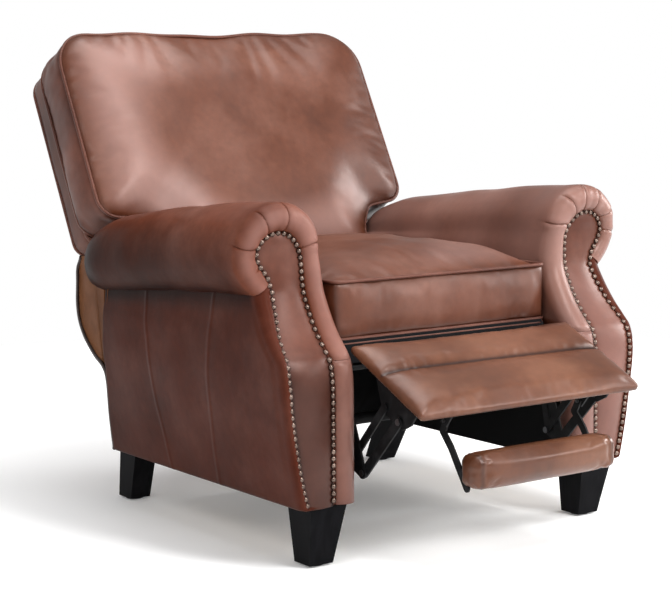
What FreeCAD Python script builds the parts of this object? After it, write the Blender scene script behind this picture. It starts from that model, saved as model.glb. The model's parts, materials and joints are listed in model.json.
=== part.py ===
import FreeCAD, Part
import math
import os

# Push-back recliner armchair with scroll arms, nailhead trim and a two-stage footrest. Millimetres.
# +X is the sitter's left, -Y is the way the sitter faces, +Z is up. The origin is on the floor under
# the middle of the chair's box. Every moving part is drawn at rest: footrest half out, back part
# reclined. Side pieces are built for +X (left) and mirrored for -X (right).

V = FreeCAD.Vector

# ---- driving dimensions -------------------------------------------------------------------------
Y_SHIFT = -403.0          # moves lengths measured from the front feet to lengths from the origin

INNER_X = 272.0           # inner face of each arm
ROLL_X = 374.5            # centre line of the arm roll
ROLL_R = 90.0             # radius of the scroll, so the arms are 929 mm apart over all
ARM_FRONT_Y = -27.0 + Y_SHIFT
ARM_REAR_Y = 650.0 + Y_SHIFT
ARM_BOTTOM_Z = 120.0      # also the leg height
BOARD_T = 12.0            # upholstered panel thickness
WRAP_DEPTH = 45.0         # depth of the padded ring around each arm front
LINER_TOP_Z = 386.0

SEAT_FRONT_Y = 48.0 + Y_SHIFT
SEAT_REAR_Y = 600.0 + Y_SHIFT
SEAT_HALF = 267.0
SEAT_BOTTOM_Z = 411.0
SEAT_EDGE_Z = 521.0
SEAT_CROWN_Z = 567.0

BACK_TILT = 28.0          # degrees from vertical at rest
BACK_Y = 634.5 + Y_SHIFT  # lowest point of the back cushion's front face
BACK_Z = 470.0
BACK_HEIGHT = 605.0       # along the tilted back
BACK_HALF = 400.0
BACK_LOWER_HALF = 262.0   # the narrow part of the T, between the arms
EAR_BOTTOM = 170.0
BACK_CORNER_R = 58.0
CUSHION_T = 107.0
SLAB_T = 68.0
SLAB_HALF = 385.0
SLAB_LOW = 152.0
SLAB_HIGH = 585.0
BACK_PIVOT = (660.0 + Y_SHIFT, 400.0)

PAD_BACK = (-17.0 + Y_SHIFT, 407.0)   # rear top edge of the footrest pad
PAD_SLOPE = 25.0                      # degrees down towards the front
PAD_LENGTH = 226.0
PAD_T = 18.0
PAD_UNDER = -30.0                     # underside of the board, below the pad's top
PAD_HALF = 268.0

LIFT_PIVOT = (58.0 + Y_SHIFT, 356.0)
KNEE = (-13.0 + Y_SHIFT, 168.0)
PAD_PIVOT = (-120.0 + Y_SHIFT, 280.0)
CONTROL_LOW = (25.7 + Y_SHIFT, 185.6)
CONTROL_HIGH = (-78.0 + Y_SHIFT, 301.3)
FLIP_PIVOT = (-157.4 + Y_SHIFT, 279.7)
FLIP_BENDS = [(-146.0 + Y_SHIFT, 258.0), (-170.0 + Y_SHIFT, 231.0), (-215.0 + Y_SHIFT, 163.0)]

BOLSTER_HALF = 159.0
BOLSTER_Y = (-258.0 + Y_SHIFT, -200.0 + Y_SHIFT)
BOLSTER_Z = (163.0, 229.0)
FLIP_ARM_X = (159.6, 163.6)
FLIP_BRACKET_X = (164.0, 168.0)

# plates of the mechanism, one beside the other, from the arm inwards
TRACK_X = (256.2, 271.9)
SIDE_PLATE_X = (250.0, 254.0)
LIFT_X = (245.5, 249.5)
KNEE_X = (241.0, 245.0)
BRACKET_X = (236.5, 240.5)
PIN_R = 3.5
RUNNING = 0.06            # radial clearance of a pin in its hole
TORQUE_ROD_R = 6.0

NAIL_PITCH = 13.0
NAIL_R = 4.8
NAIL_H = 2.8

SOLIDS = {}


# ---- helpers ------------------------------------------------------------------------------------
def block(x0, x1, y0, y1, z0, z1):
    return Part.makeBox(x1 - x0, y1 - y0, z1 - z0, V(x0, y0, z0))


def polygon_face(points):
    return Part.Face(Part.makePolygon(points + [points[0]]))


def yz_prism(points, x0, x1):
    """Outline of (y, z) points, extruded along X."""
    return polygon_face([V(x0, y, z) for y, z in points]).extrude(V(x1 - x0, 0, 0))


def spline_edge(points):
    curve = Part.BSplineCurve()
    curve.interpolate(points)
    return curve.toShape()


def smooth(points, facets):
    """Points of the smooth curve through the given points, so that its prisms have flat facets."""
    return spline_edge(points).discretize(facets + 1)


def open_lines(points):
    """Straight edges from each point to the next."""
    return [Part.makeLine(a, b) for a, b in zip(points, points[1:])]


def closed_face(edges):
    return Part.Face(Part.Wire(Part.__sortEdges__(edges)))


def rod_x(centre, radius, x0, x1):
    """Cylinder along X about (y, z) = centre."""
    return Part.makeCylinder(radius, x1 - x0, V(x0, centre[0], centre[1]), V(1, 0, 0))


def flat_bar(a, b, radius, x0, x1):
    """Round-ended flat bar from (y, z) point a to b."""
    dy, dz = b[0] - a[0], b[1] - a[1]
    length = math.hypot(dy, dz)
    ny, nz = -dz / length * radius, dy / length * radius
    middle = yz_prism([(a[0] + ny, a[1] + nz), (b[0] + ny, b[1] + nz),
                       (b[0] - ny, b[1] - nz), (a[0] - ny, a[1] - nz)], x0, x1)
    return middle.fuse([rod_x(a, radius, x0, x1), rod_x(b, radius, x0, x1)]).removeSplitter()


def drilled(shape, centre, radius):
    box = shape.BoundBox
    return shape.cut(rod_x(centre, radius, box.XMin - 1, box.XMax + 1))


def rivet(centre, x0, x1, head=2.0):
    """Pin with a flat head outside each of its two plates."""
    gap = 0.1
    shank = rod_x(centre, PIN_R, x0 - gap - head, x1 + gap + head)
    low = rod_x(centre, PIN_R * 1.8, x0 - gap - head, x0 - gap)
    high = rod_x(centre, PIN_R * 1.8, x1 + gap, x1 + gap + head)
    return shank.fuse([low, high]).removeSplitter()


def mirrored(shape):
    return shape.mirror(V(0, 0, 0), V(1, 0, 0))


def both(shape):
    """The +X piece and its mirror image, as separate solids of one node."""
    return Part.makeCompound(shape.Solids + mirrored(shape).Solids)


def keep(name, shape):
    SOLIDS[name] = shape


def keep_pair(name, shape):
    keep("left_" + name, shape)
    keep("right_" + name, mirrored(shape))


# ---- frame of the tilted back: x, h up the back, d behind the front face ---------------------------
UP = V(0, math.sin(math.radians(BACK_TILT)), math.cos(math.radians(BACK_TILT)))
REARWARD = V(0, math.cos(math.radians(BACK_TILT)), -math.sin(math.radians(BACK_TILT)))


def back_point(x, h, d):
    return V(x, BACK_Y, BACK_Z) + UP * h + REARWARD * d


def back_block(x0, x1, h0, h1, d0, d1):
    corners = [back_point(x, h, d0) for x, h in ((x0, h0), (x1, h0), (x1, h1), (x0, h1))]
    return polygon_face(corners).extrude(REARWARD * (d1 - d0))


def back_outline(points, d0, d1):
    return polygon_face([back_point(x, h, d0) for x, h in points]).extrude(REARWARD * (d1 - d0))


def edges_along(shape, direction, length_over=0.0):
    """Straight edges of a shape that run along a direction."""
    found = []
    for edge in shape.Edges:
        if edge.Length <= length_over or edge.Curve.TypeId != "Part::GeomLine":
            continue
        run = edge.Vertexes[1].Point - edge.Vertexes[0].Point
        if run.cross(direction).Length < 1e-3 * run.Length * direction.Length:
            found.append(edge)
    return found


# ---- frame of the footrest pad: s towards the front, n up from the pad's top ------------------------
PAD_S = V(0, -math.cos(math.radians(PAD_SLOPE)), -math.sin(math.radians(PAD_SLOPE)))
PAD_N = V(0, -math.sin(math.radians(PAD_SLOPE)), math.cos(math.radians(PAD_SLOPE)))


def pad_point(s, n):
    point = V(0, PAD_BACK[0], PAD_BACK[1]) + PAD_S * s + PAD_N * n
    return point.y, point.z


def pad_prism(points, x0, x1):
    return yz_prism([pad_point(s, n) for s, n in points], x0, x1)


def pad_box(x0, x1, s0, s1, n0, n1):
    return pad_prism([(s0, n0), (s1, n0), (s1, n1), (s0, n1)], x0, x1)


# ---- arms ---------------------------------------------------------------------------------------
# side view of the arm's front face: (y behind the lowest face, z)
FRONT_PROFILE = [(0, 120), (0, 235), (0, 340), (8, 385), (27, 408), (52, 436), (77, 475),
                 (93, 510), (97, 545), (97, 580), (91, 620), (80, 690)]
# outer side of the arm body, as (x, z)
OUTER_SIDE = [(395, 120), (410, 200), (424, 300), (430, 370), (429, 430), (424, 480), (419, 530)]
# trim line of the nails on the arm front, as (x, z), from the inner foot over the scroll
NAIL_LINE = [(326, 130), (325, 260), (325, 400), (325, 500), (326, 562), (335, 592), (353, 612),
             (375, 620), (400, 616), (419, 600), (425, 582), (414, 555), (398, 531), (394, 512),
             (400, 470), (411, 425), (419, 380), (419, 340), (414, 282), (402, 203), (384, 127)]
# centre height and radius of the roll along the arm, as (y from the front feet, centre z, radius)
ROLL_SECTIONS = [(40, 584, 90), (163, 580, 89), (345, 566, 87), (540, 547, 85), (700, 525, 80),
                 (735, 519, 76), (765, 512, 60), (782, 506, 32)]
# rear edge of the arm's tail, as (y from the front feet, z)
TAIL_CURVE = [(664, 295), (701, 319), (738, 352), (764, 386), (776, 425), (783, 478), (787, 530)]


def front_band(d0, d1, x0=200.0, x1=500.0):
    """Solid between two copies of the front profile, d0 and d1 behind it."""
    near = smooth([V(x0, ARM_FRONT_Y + y + d0, z) for y, z in FRONT_PROFILE], 28)
    far = [point + V(0, d1 - d0, 0) for point in reversed(near)]
    return polygon_face(near + far).extrude(V(x1 - x0, 0, 0))


def behind_front(depth, y_end=500.0):
    """Everything more than depth behind the front profile, up to y_end."""
    near = smooth([V(200.0, ARM_FRONT_Y + y + depth, z) for y, z in FRONT_PROFILE], 28)
    ends = [V(200.0, y_end, near[-1].z), V(200.0, y_end, near[0].z)]
    return polygon_face(near + ends).extrude(V(300.0, 0, 0))


def arm_envelope(inset):
    """Block with the arm body's cross-section, inset all round, the whole length of the chair."""
    side = smooth([V(x - inset, -500.0, z) for x, z in OUTER_SIDE], 14)
    ends = [V(INNER_X + inset, -500.0, side[-1].z), V(INNER_X + inset, -500.0, side[0].z)]
    return polygon_face(side + ends).extrude(V(0, 1000.0, 0))


def nail_wire(y):
    """The trim line closed along the bottom, in the plane at y."""
    points = smooth([V(x, y, z) for x, z in NAIL_LINE], 72)
    return Part.makePolygon(points + [points[0]])


def roll_solid():
    rings = []
    for y, z, radius in ROLL_SECTIONS:
        circle = Part.makeCircle(radius, V(ROLL_X, y + Y_SHIFT, z), V(0, 1, 0))
        rings.append(Part.Wire([circle]))
    return Part.makeLoft(rings, True, True)


def arm_frame():
    """Kiln-dried rails and posts inside the arm, as separate boards."""
    bottom_rail = block(288, 380, ARM_FRONT_Y + BOARD_T + 8, 668 + Y_SHIFT, ARM_BOTTOM_Z, 165)
    front_post = block(300, 380, 106 + Y_SHIFT, 150 + Y_SHIFT, 165, 520)
    rear_post = block(300, 380, 580 + Y_SHIFT, 620 + Y_SHIFT, 165, 500)
    side_rail = block(300, 325, 150 + Y_SHIFT, 580 + Y_SHIFT, 400, 440)
    front, rear = 120 + Y_SHIFT, 690 + Y_SHIFT
    top_board = yz_prism([(front, 550), (rear, 505), (rear, 525), (front, 570)], 325, 420)
    top_board = top_board.cut(front_post).cut(rear_post)
    return [bottom_rail, front_post, rear_post, side_rail, top_board]


def tail_region(x0, x1):
    """Block bounded by the arm's tail curve at the rear and the side panel's rear edge in front."""
    curve = smooth([V(x0, y + Y_SHIFT, z) for y, z in TAIL_CURVE], 16)
    rest = [V(x0, ARM_REAR_Y, curve[-1].z), V(x0, ARM_REAR_Y, 300),
            V(x0, 678 + Y_SHIFT, ARM_BOTTOM_Z), V(x0, 690 + Y_SHIFT, ARM_BOTTOM_Z)]
    return polygon_face(curve + rest).extrude(V(x1 - x0, 0, 0))


def nails(front_y):
    """Domed nailheads at even steps along the trim line, square to the front face."""
    line = Part.Wire([spline_edge([V(x, 0, z) for x, z in NAIL_LINE])])
    count = int(round(line.Length / NAIL_PITCH)) + 1
    cap_radius = (NAIL_R ** 2 + NAIL_H ** 2) / (2 * NAIL_H)
    base_depth = cap_radius - NAIL_H
    base_latitude = math.degrees(math.asin(base_depth / cap_radius))
    heads = []
    for spot in line.discretize(count):
        y, lean = front_y(spot.z)
        normal = V(0, -1, lean)
        normal.normalize()
        centre = V(spot.x, y, spot.z) - normal * base_depth
        heads.append(Part.makeSphere(cap_radius, centre, normal, base_latitude, 90, 360))
    return Part.makeCompound(heads)


def front_height_lookup():
    """Function giving the front face's y and its lean dy/dz at a height."""
    samples = spline_edge([V(0, y, z) for y, z in FRONT_PROFILE]).discretize(400)

    def find(z):
        nearest = min(range(1, len(samples) - 1), key=lambda i: abs(samples[i].z - z))
        a, b = samples[nearest - 1], samples[nearest + 1]
        return ARM_FRONT_Y + samples[nearest].y, (b.y - a.y) / (b.z - a.z)

    return find


def build_arms():
    frame = arm_frame()
    timber = Part.makeCompound(frame)
    roll_full = roll_solid()
    panel_block = Part.Face(nail_wire(-500.0).makeOffset2D(6.0, 2)).extrude(V(0, 400.0, 0))
    panel_block = panel_block.common(block(200, 500, -600, 0, ARM_BOTTOM_Z, 700))
    front_panel = panel_block.common(front_band(0, BOARD_T))

    body = block(200, 500, -600, 400, 495, 700)
    scroll = Part.makeCylinder(ROLL_R, 300, V(ROLL_X, -500, 582), V(0, 1, 0)).common(body)
    front_pad = scroll.common(front_band(-8, WRAP_DEPTH)).cut(front_panel)
    front_pad = front_pad.cut(panel_block.common(front_band(-60, 0))).cut(timber)
    front_pad = max(front_pad.Solids, key=lambda solid: solid.Volume)

    roll = roll_full.common(behind_front(WRAP_DEPTH)).cut(timber)
    roll = max(roll.Solids, key=lambda solid: solid.Volume)

    shell = arm_envelope(0).common(behind_front(0))
    shell = shell.cut(arm_envelope(BOARD_T).common(behind_front(BOARD_T)))
    ahead_of_tail = yz_prism([(-600, 100), (678 + Y_SHIFT, ARM_BOTTOM_Z), (ARM_REAR_Y, 300),
                              (ARM_REAR_Y, 540), (-600, 540)], 200, 500)
    shell = shell.common(ahead_of_tail).cut(front_panel).cut(roll_full).cut(front_pad).cut(timber)
    outer = shell.common(block(ROLL_X, 500, -600, 400, 100, 540))
    inner = shell.common(block(200, ROLL_X, -600, 400, 100, 540))
    inner = inner.cut(block(200, 300, ARM_FRONT_Y + 40, 400, 100, LINER_TOP_Z))

    tail = arm_envelope(0).common(tail_region(200, 500)).cut(roll_full).cut(timber)
    liner = block(INNER_X, INNER_X + 5, ARM_FRONT_Y + 40, 640 + Y_SHIFT, ARM_BOTTOM_Z, LINER_TOP_Z)

    keep_pair("arm_frame", timber)
    keep_pair("arm_side_panel", max(outer.Solids, key=lambda solid: solid.Volume))
    keep_pair("arm_inside_panel", max(inner.Solids, key=lambda solid: solid.Volume))
    keep_pair("arm_roll", roll)
    keep_pair("arm_front_panel", front_panel)
    keep_pair("arm_front_pad", front_pad)
    keep_pair("arm_nails", nails(front_height_lookup()))
    keep_pair("arm_rear_panel", max(tail.Solids, key=lambda solid: solid.Volume))
    keep_pair("base_liner", liner)


# ---- legs and the fixed base ----------------------------------------------------------------------
# each leg as (x0, x1, y0, y1) of its top and of its foot, then (y, lowest z) of its bolt
LEGS = {"front": ((294, 375, -27, 50), (308, 360, 0, 52), (12, 95)),
        "rear": ((319, 371, 635, 702), (308, 355, 690, 742), (652, 108))}
GLIDE_H = 4.0
BOLT_R = 4.0
BOLT_TOP_Z = 150.0


def leg_ring(box, z):
    x0, x1, y0, y1 = box
    corners = [V(x0, y0 + Y_SHIFT, z), V(x1, y0 + Y_SHIFT, z), V(x1, y1 + Y_SHIFT, z), V(x0, y1 + Y_SHIFT, z)]
    return Part.makePolygon(corners + [corners[0]])


def build_legs():
    bolts, glides = [], []
    for place, (top, foot, (bolt_y, bolt_z)) in LEGS.items():
        leg = Part.makeLoft([leg_ring(foot, GLIDE_H), leg_ring(top, ARM_BOTTOM_Z)], True, True)
        spot = V((top[0] + top[1]) / 2, bolt_y + Y_SHIFT, bolt_z)
        bolt = Part.makeCylinder(BOLT_R, BOLT_TOP_Z - bolt_z, spot)
        bolts.append(bolt)
        foot_x, foot_y = (foot[0] + foot[1]) / 2, (foot[2] + foot[3]) / 2 + Y_SHIFT
        glides.append(Part.makeCylinder(18.0, GLIDE_H, V(foot_x, foot_y, 0)))
        keep_pair(place + "_leg", leg.cut(bolt))
    for side in ("left", "right"):
        holes = bolts if side == "left" else [mirrored(bolt) for bolt in bolts]
        rails = SOLIDS[side + "_arm_frame"]
        keep(side + "_arm_frame", Part.makeCompound([board.cut(holes) for board in rails.Solids]))
    keep("leg_bolts", both(Part.makeCompound(bolts)))
    keep("leg_glides", both(Part.makeCompound(glides)))


def build_base():
    keep("rear_rail", block(-INNER_X, INNER_X, 600 + Y_SHIFT, 622 + Y_SHIFT, 125, 200))
    axis, z, wall = 430 + Y_SHIFT, 170.0, 2.0
    tube = rod_x((axis, z), 12.5, -INNER_X, INNER_X).cut(rod_x((axis, z), 12.5 - wall, -INNER_X, INNER_X))
    keep("cross_stretcher", tube)
    y0, y1 = 95 + Y_SHIFT, 585 + Y_SHIFT
    shelf = block(TRACK_X[0], TRACK_X[1], y0, y1, 327, 330)
    web = block(TRACK_X[1] - 3, TRACK_X[1], y0, y1, 330, 368)
    keep_pair("track", shelf.fuse(web).removeSplitter())


# ---- seat carriage --------------------------------------------------------------------------------
SEAT_RAIL_Z = (374.0, 404.0)


def seat_cushion():
    """Boxed cushion, crowned both from side to side and from front to back."""
    low, edge, half = SEAT_BOTTOM_Z, SEAT_EDGE_Z, SEAT_HALF
    corners = [V(half, -600, edge), V(half, -600, low), V(-half, -600, low), V(-half, -600, edge)]
    crown = Part.Arc(corners[0], V(0, -600, SEAT_CROWN_Z), corners[3]).toShape()
    across = closed_face([crown] + open_lines(corners)).extrude(V(0, 1200, 0))
    front, rear = SEAT_FRONT_Y, SEAT_REAR_Y
    corners = [V(-300, front, edge), V(-300, front, low), V(-300, rear, low), V(-300, rear, edge + 15)]
    crown = Part.Arc(corners[0], V(-300, (front + rear) / 2, SEAT_CROWN_Z + 3), corners[3]).toShape()
    return across.common(closed_face([crown] + open_lines(corners)).extrude(V(600, 0, 0)))


def sinuous_spring(x, y0, y1, z, loops):
    """Zigzag spring wire in the plane at z: straight legs across X joined by half turns."""
    wire_r, half_width = 1.9, 22.0
    pitch = (y1 - y0) / loops
    turn = pitch / 2
    edges = []
    for i in range(loops):
        y = y0 + i * pitch
        side = 1 if i % 2 == 0 else -1
        start, end = V(x - side * half_width, y, z), V(x + side * half_width, y, z)
        edges.append(Part.makeLine(start, end))
        if i < loops - 1:
            middle = V(x + side * (half_width + turn), y + turn, z)
            edges.append(Part.Arc(end, middle, V(end.x, y + pitch, z)).toShape())
    path = Part.Wire(edges)
    profile = Part.Wire([Part.makeCircle(wire_r, edges[0].Vertexes[0].Point, V(1, 0, 0))])
    return path.makePipeShell([profile], True, False)


def side_plate():
    """Plate that carries the seat rail and both pivots, outlined from the front feet."""
    outline = [(45, 356), (50, 345), (70, 338), (120, 336), (560, 336), (660, 382),
               (678, 392), (678, 410), (660, 418), (600, 404), (50, 404), (45, 380)]
    plate = yz_prism([(y + Y_SHIFT, z) for y, z in outline], *SIDE_PLATE_X)
    plate = drilled(plate, LIFT_PIVOT, TORQUE_ROD_R + RUNNING)
    return drilled(plate, BACK_PIVOT, PIN_R + RUNNING)


def build_seat():
    z0, z1 = SEAT_RAIL_Z
    front, rear = SEAT_FRONT_Y + 4, SEAT_REAR_Y
    rail = 26.0
    edge_x = SIDE_PLATE_X[0] - 0.2
    rails = [block(-edge_x, edge_x, front, front + rail, z0, z1),
             block(-edge_x, edge_x, rear - rail, rear, z0, z1),
             block(edge_x - rail, edge_x, front + rail, rear - rail, z0, z1),
             block(-edge_x, rail - edge_x, front + rail, rear - rail, z0, z1)]
    keep("seat_frame", Part.makeCompound(rails))
    lip = yz_prism([(front - 3, 366), (front - 0.1, 366), (front - 0.1, z1 + 0.1), (front + rail, z1 + 0.1),
                    (front + rail, SEAT_BOTTOM_Z - 0.3), (front - 3, SEAT_BOTTOM_Z - 0.3)], -edge_x, edge_x)
    keep("seat_front_rail_cover", lip)
    spring_z = z1 + 2.4
    wires = [sinuous_spring(x, front + rail + 4, rear - 6, spring_z, 21) for x in (-165, -55, 55, 165)]
    keep("seat_springs", Part.makeCompound(wires))
    keep("seat_cushion", seat_cushion())
    keep_pair("side_plate", side_plate())
    spots = [y + Y_SHIFT for y in (170, 470)]
    blocks = [block(SIDE_PLATE_X[1] + 0.1, 268.5, y, y + 40, 330.4, 350) for y in spots]
    keep("glide_blocks", both(Part.makeCompound(blocks)))


# ---- footrest linkage -------------------------------------------------------------------------------
def build_links():
    hole = PIN_R + RUNNING
    lift = flat_bar(LIFT_PIVOT, KNEE, 11.0, *LIFT_X).fuse(flat_bar(KNEE, CONTROL_LOW, 10.0, *LIFT_X))
    lift = lift.fuse(flat_bar(CONTROL_LOW, LIFT_PIVOT, 8.0, *LIFT_X)).removeSplitter()
    lift = drilled(drilled(drilled(lift, LIFT_PIVOT, TORQUE_ROD_R), KNEE, hole), CONTROL_LOW, hole)
    keep_pair("lift_link", lift)
    keep("lift_torque_rod", rod_x(LIFT_PIVOT, TORQUE_ROD_R, -255.0, 255.0))
    knee = drilled(drilled(flat_bar(KNEE, PAD_PIVOT, 10.0, *KNEE_X), KNEE, hole), PAD_PIVOT, hole)
    keep_pair("knee_link", knee)
    control = drilled(flat_bar(CONTROL_LOW, CONTROL_HIGH, 8.0, *KNEE_X), CONTROL_LOW, hole)
    stud = rod_x(CONTROL_HIGH, PIN_R, BRACKET_X[0] - 1, KNEE_X[1])
    keep_pair("control_link", control.fuse(stud).removeSplitter())
    keep("knee_rivets", both(Part.makeCompound([rivet(KNEE, KNEE_X[0], LIFT_X[1]),
                                                rivet(CONTROL_LOW, KNEE_X[0], LIFT_X[1])])))
    keep("pad_rivets", both(rivet(PAD_PIVOT, BRACKET_X[0], KNEE_X[1])))


def footrest_bracket():
    """Plate under the board with the pad's pivot, the control link's clearance hole and a screw flange."""
    under = PAD_UNDER - 0.1
    plate = pad_prism([(45, under), (185, under), (178, -60), (160, -82), (140, -84), (92, -82), (82, -70)],
                      *BRACKET_X)
    plate = drilled(drilled(plate, PAD_PIVOT, PIN_R + RUNNING), CONTROL_HIGH, PIN_R + 1.0)
    flange = pad_box(BRACKET_X[0] - 20, BRACKET_X[0], 45, 185, under - 3, under)
    return plate.fuse(flange).removeSplitter()


def build_footrest():
    inset = 22.0
    board_half = PAD_HALF - inset
    keep("footrest_board", pad_box(-board_half, board_half, inset, PAD_LENGTH - inset, PAD_UNDER, -PAD_T))
    pad = pad_box(-PAD_HALF, PAD_HALF, 0, PAD_LENGTH, -PAD_T, 0)
    keep("footrest_pad", pad.makeFillet(8.0, edges_along(pad, V(1, 0, 0), 100)))
    keep_pair("footrest_bracket", footrest_bracket())
    under = PAD_UNDER - 0.1
    ear = pad_prism([(163, under), (199, under), (190, -64), (172, -64)], *FLIP_BRACKET_X)
    foot = pad_box(FLIP_BRACKET_X[1], FLIP_BRACKET_X[1] + 22, 163, 199, under - 3, under)
    bracket = drilled(ear.fuse(foot).removeSplitter(), FLIP_PIVOT, PIN_R)
    keep("flip_brackets", both(bracket))
    pin = rod_x(FLIP_PIVOT, PIN_R, FLIP_ARM_X[0] - 3, FLIP_BRACKET_X[1] + 3)
    keep("flip_pins", both(pin))


def build_flip_rest():
    route = [FLIP_PIVOT] + FLIP_BENDS
    bars = [flat_bar(a, b, 7.5, *FLIP_ARM_X) for a, b in zip(route, route[1:])]
    arm = bars[0].fuse(bars[1:]).removeSplitter()
    keep_pair("flip_arm", drilled(arm, FLIP_PIVOT, PIN_R + RUNNING))
    y0, y1 = BOLSTER_Y
    z0, z1 = BOLSTER_Z
    bolster = block(-BOLSTER_HALF, BOLSTER_HALF, y0, y1, z0, z1)
    keep("flip_bolster", bolster.makeFillet(18.0, edges_along(bolster, V(1, 0, 0), 100)))


# ---- back -----------------------------------------------------------------------------------------
def rounded(shape, direction, radius, at_height):
    """Rounds the edges along a direction whose middle is above a height up the back."""
    edges = []
    for edge in edges_along(shape, direction):
        middle = (edge.Vertexes[0].Point + edge.Vertexes[1].Point) * 0.5
        if (middle - V(0, BACK_Y, BACK_Z)).dot(UP) > at_height:
            edges.append(edge)
    return shape.makeFillet(radius, edges)


def back_cushion():
    low, wide = BACK_LOWER_HALF, BACK_HALF
    half = [(low, 0), (low, EAR_BOTTOM), (wide, EAR_BOTTOM), (wide, BACK_HEIGHT)]
    outline = half + [(-x, h) for x, h in reversed(half)]
    cushion = back_outline(outline, 0, CUSHION_T)
    return rounded(cushion, REARWARD, BACK_CORNER_R, BACK_HEIGHT - 20)


def build_back():
    keep("back_cushion", back_cushion())
    d0, d1, skin = CUSHION_T + 0.2, CUSHION_T + SLAB_T, 8.0
    slab = back_block(-SLAB_HALF, SLAB_HALF, SLAB_LOW, SLAB_HIGH, d0, d1)
    slab = rounded(slab, REARWARD, BACK_CORNER_R - 10, SLAB_HIGH - 20)
    pocket = back_block(skin - SLAB_HALF, SLAB_HALF - skin, SLAB_LOW - 1, SLAB_HIGH - skin, d0 - 1, d1 - skin)
    pocket = rounded(pocket, REARWARD, BACK_CORNER_R - 18, SLAB_HIGH - 20)
    keep("outer_back", slab.cut(pocket))
    depth = (d0 + 0.3, d0 + 45)
    boards = []
    for side in (-1, 1):
        inner, outer = sorted((side * 205.0, side * 245.0))
        boards.append(back_block(inner, outer, -80, 530, *depth))
        inner, outer = sorted((side * 335.0, side * 372.0))
        boards.append(back_block(inner, outer, 205, 515, *depth))
        inner, outer = sorted((side * 245.0, side * 372.0))
        boards.append(back_block(inner, outer, 165, 205, *depth))
    boards.append(back_block(-330, 330, 530, 570, *depth))
    boards.append(back_block(-205, 205, -80, -40, *depth))
    boards.append(back_block(-205, 205, 165, 205, *depth))
    keep("back_frame", Part.makeCompound(boards))
    straps = [back_block(-300, 300, h, h + 50, d1 - skin - 12, d1 - skin - 9) for h in (240, 320, 400, 480)]
    straps = [strap.cut(Part.makeCompound(boards)) for strap in straps]
    keep("back_webbing", Part.makeCompound(straps))
    keep("lower_back_panel", back_block(-258, 258, -120, SLAB_LOW - 1, d0 + 46, d1))
    hinge_y, hinge_z = BACK_PIVOT
    upright = [back_point(0, h, d0 + d) for h, d in ((-5, 6), (60, 6), (60, 40), (-70, 40), (-70, 8))]
    plate = yz_prism([(hinge_y - 14, hinge_z + 4), (hinge_y, hinge_z + 15)] + [(p.y, p.z) for p in upright]
                     + [(hinge_y - 6, hinge_z - 14)], *LIFT_X)
    keep("back_brackets", both(drilled(plate, BACK_PIVOT, PIN_R + RUNNING)))
    keep("back_pivot_pins", both(rivet(BACK_PIVOT, LIFT_X[0], SIDE_PLATE_X[1])))


def main():
    os.makedirs("parts", exist_ok=True)
    build_arms()
    build_legs()
    build_base()
    build_seat()
    build_links()
    build_footrest()
    build_flip_rest()
    build_back()
    box = FreeCAD.BoundBox()
    for name, shape in SOLIDS.items():
        if not shape.isValid():
            print("not valid:", name)
        box.add(shape.BoundBox)
        shape.exportStep(os.path.join("parts", name + ".step"))
    print(len(SOLIDS), "nodes from", box.XMin, box.YMin, box.ZMin, "to", box.XMax, box.YMax, box.ZMax)


main()
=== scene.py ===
"""Looks of the push-back recliner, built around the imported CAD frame. Metres, in the frame's axes.

Lengths called y below are measured from the front feet, as in the CAD source, and world() adds the
shift to the frame. Arm pieces are made for the +X arm and mirrored for the -X arm.
"""
import json
import math

import bmesh
import bpy
import numpy as np
from mathutils import Matrix, Vector
from mathutils.kdtree import KDTree

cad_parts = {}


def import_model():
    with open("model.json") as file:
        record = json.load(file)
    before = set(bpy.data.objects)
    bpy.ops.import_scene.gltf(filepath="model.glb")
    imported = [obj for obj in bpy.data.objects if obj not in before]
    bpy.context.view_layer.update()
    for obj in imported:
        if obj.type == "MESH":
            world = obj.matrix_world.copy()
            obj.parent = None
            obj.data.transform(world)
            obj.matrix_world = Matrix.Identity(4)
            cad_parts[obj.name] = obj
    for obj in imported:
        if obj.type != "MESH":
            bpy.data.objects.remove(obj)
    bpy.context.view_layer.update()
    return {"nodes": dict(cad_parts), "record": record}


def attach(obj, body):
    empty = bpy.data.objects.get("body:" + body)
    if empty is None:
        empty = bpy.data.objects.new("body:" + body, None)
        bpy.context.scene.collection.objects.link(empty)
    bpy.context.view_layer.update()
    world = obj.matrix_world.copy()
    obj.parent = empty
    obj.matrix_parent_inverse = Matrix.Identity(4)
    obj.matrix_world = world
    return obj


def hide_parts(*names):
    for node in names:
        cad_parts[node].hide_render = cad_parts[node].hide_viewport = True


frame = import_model()

Y_SHIFT = -0.403
X_AXIS = np.array([1.0, 0, 0])
SEAM_STEP = 0.003     # distance between the points that stand for a seam
CLOTH_FRAMES = 20     # length of each cloth simulation
CLOTH_SETTINGS = {"quality": 5, "mass": 0.3, "tension_stiffness": 15, "compression_stiffness": 15,
                  "shear_stiffness": 5, "bending_stiffness": 0.6}
PIPING_TONE = 0.55
WELT_RADIUS = 0.0036
SEAT_WELT_RADIUS = 0.0034


# ---- number helpers -----------------------------------------------------------------------------
def at(points, t):
    """Catmull-Rom curve through the points, at parameters t from 0 to len(points) - 1."""
    p = np.asarray(points, float)
    p = np.vstack([2 * p[0] - p[1], p, 2 * p[-1] - p[-2]])
    t = np.clip(np.atleast_1d(np.asarray(t, float)), 0, len(points) - 1)
    i = np.minimum(t.astype(int), len(points) - 2)
    f = (t - i)[:, None]
    a, b, c, d = p[i], p[i + 1], p[i + 2], p[i + 3]
    square, cube = 2 * a - 5 * b + 4 * c - d, 3 * b - a - 3 * c + d
    return 0.5 * (2 * b + (c - a) * f + square * f ** 2 + cube * f ** 3)


def dense(points, per_span=24):
    return at(points, np.linspace(0, len(points) - 1, (len(points) - 1) * per_span + 1))


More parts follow.
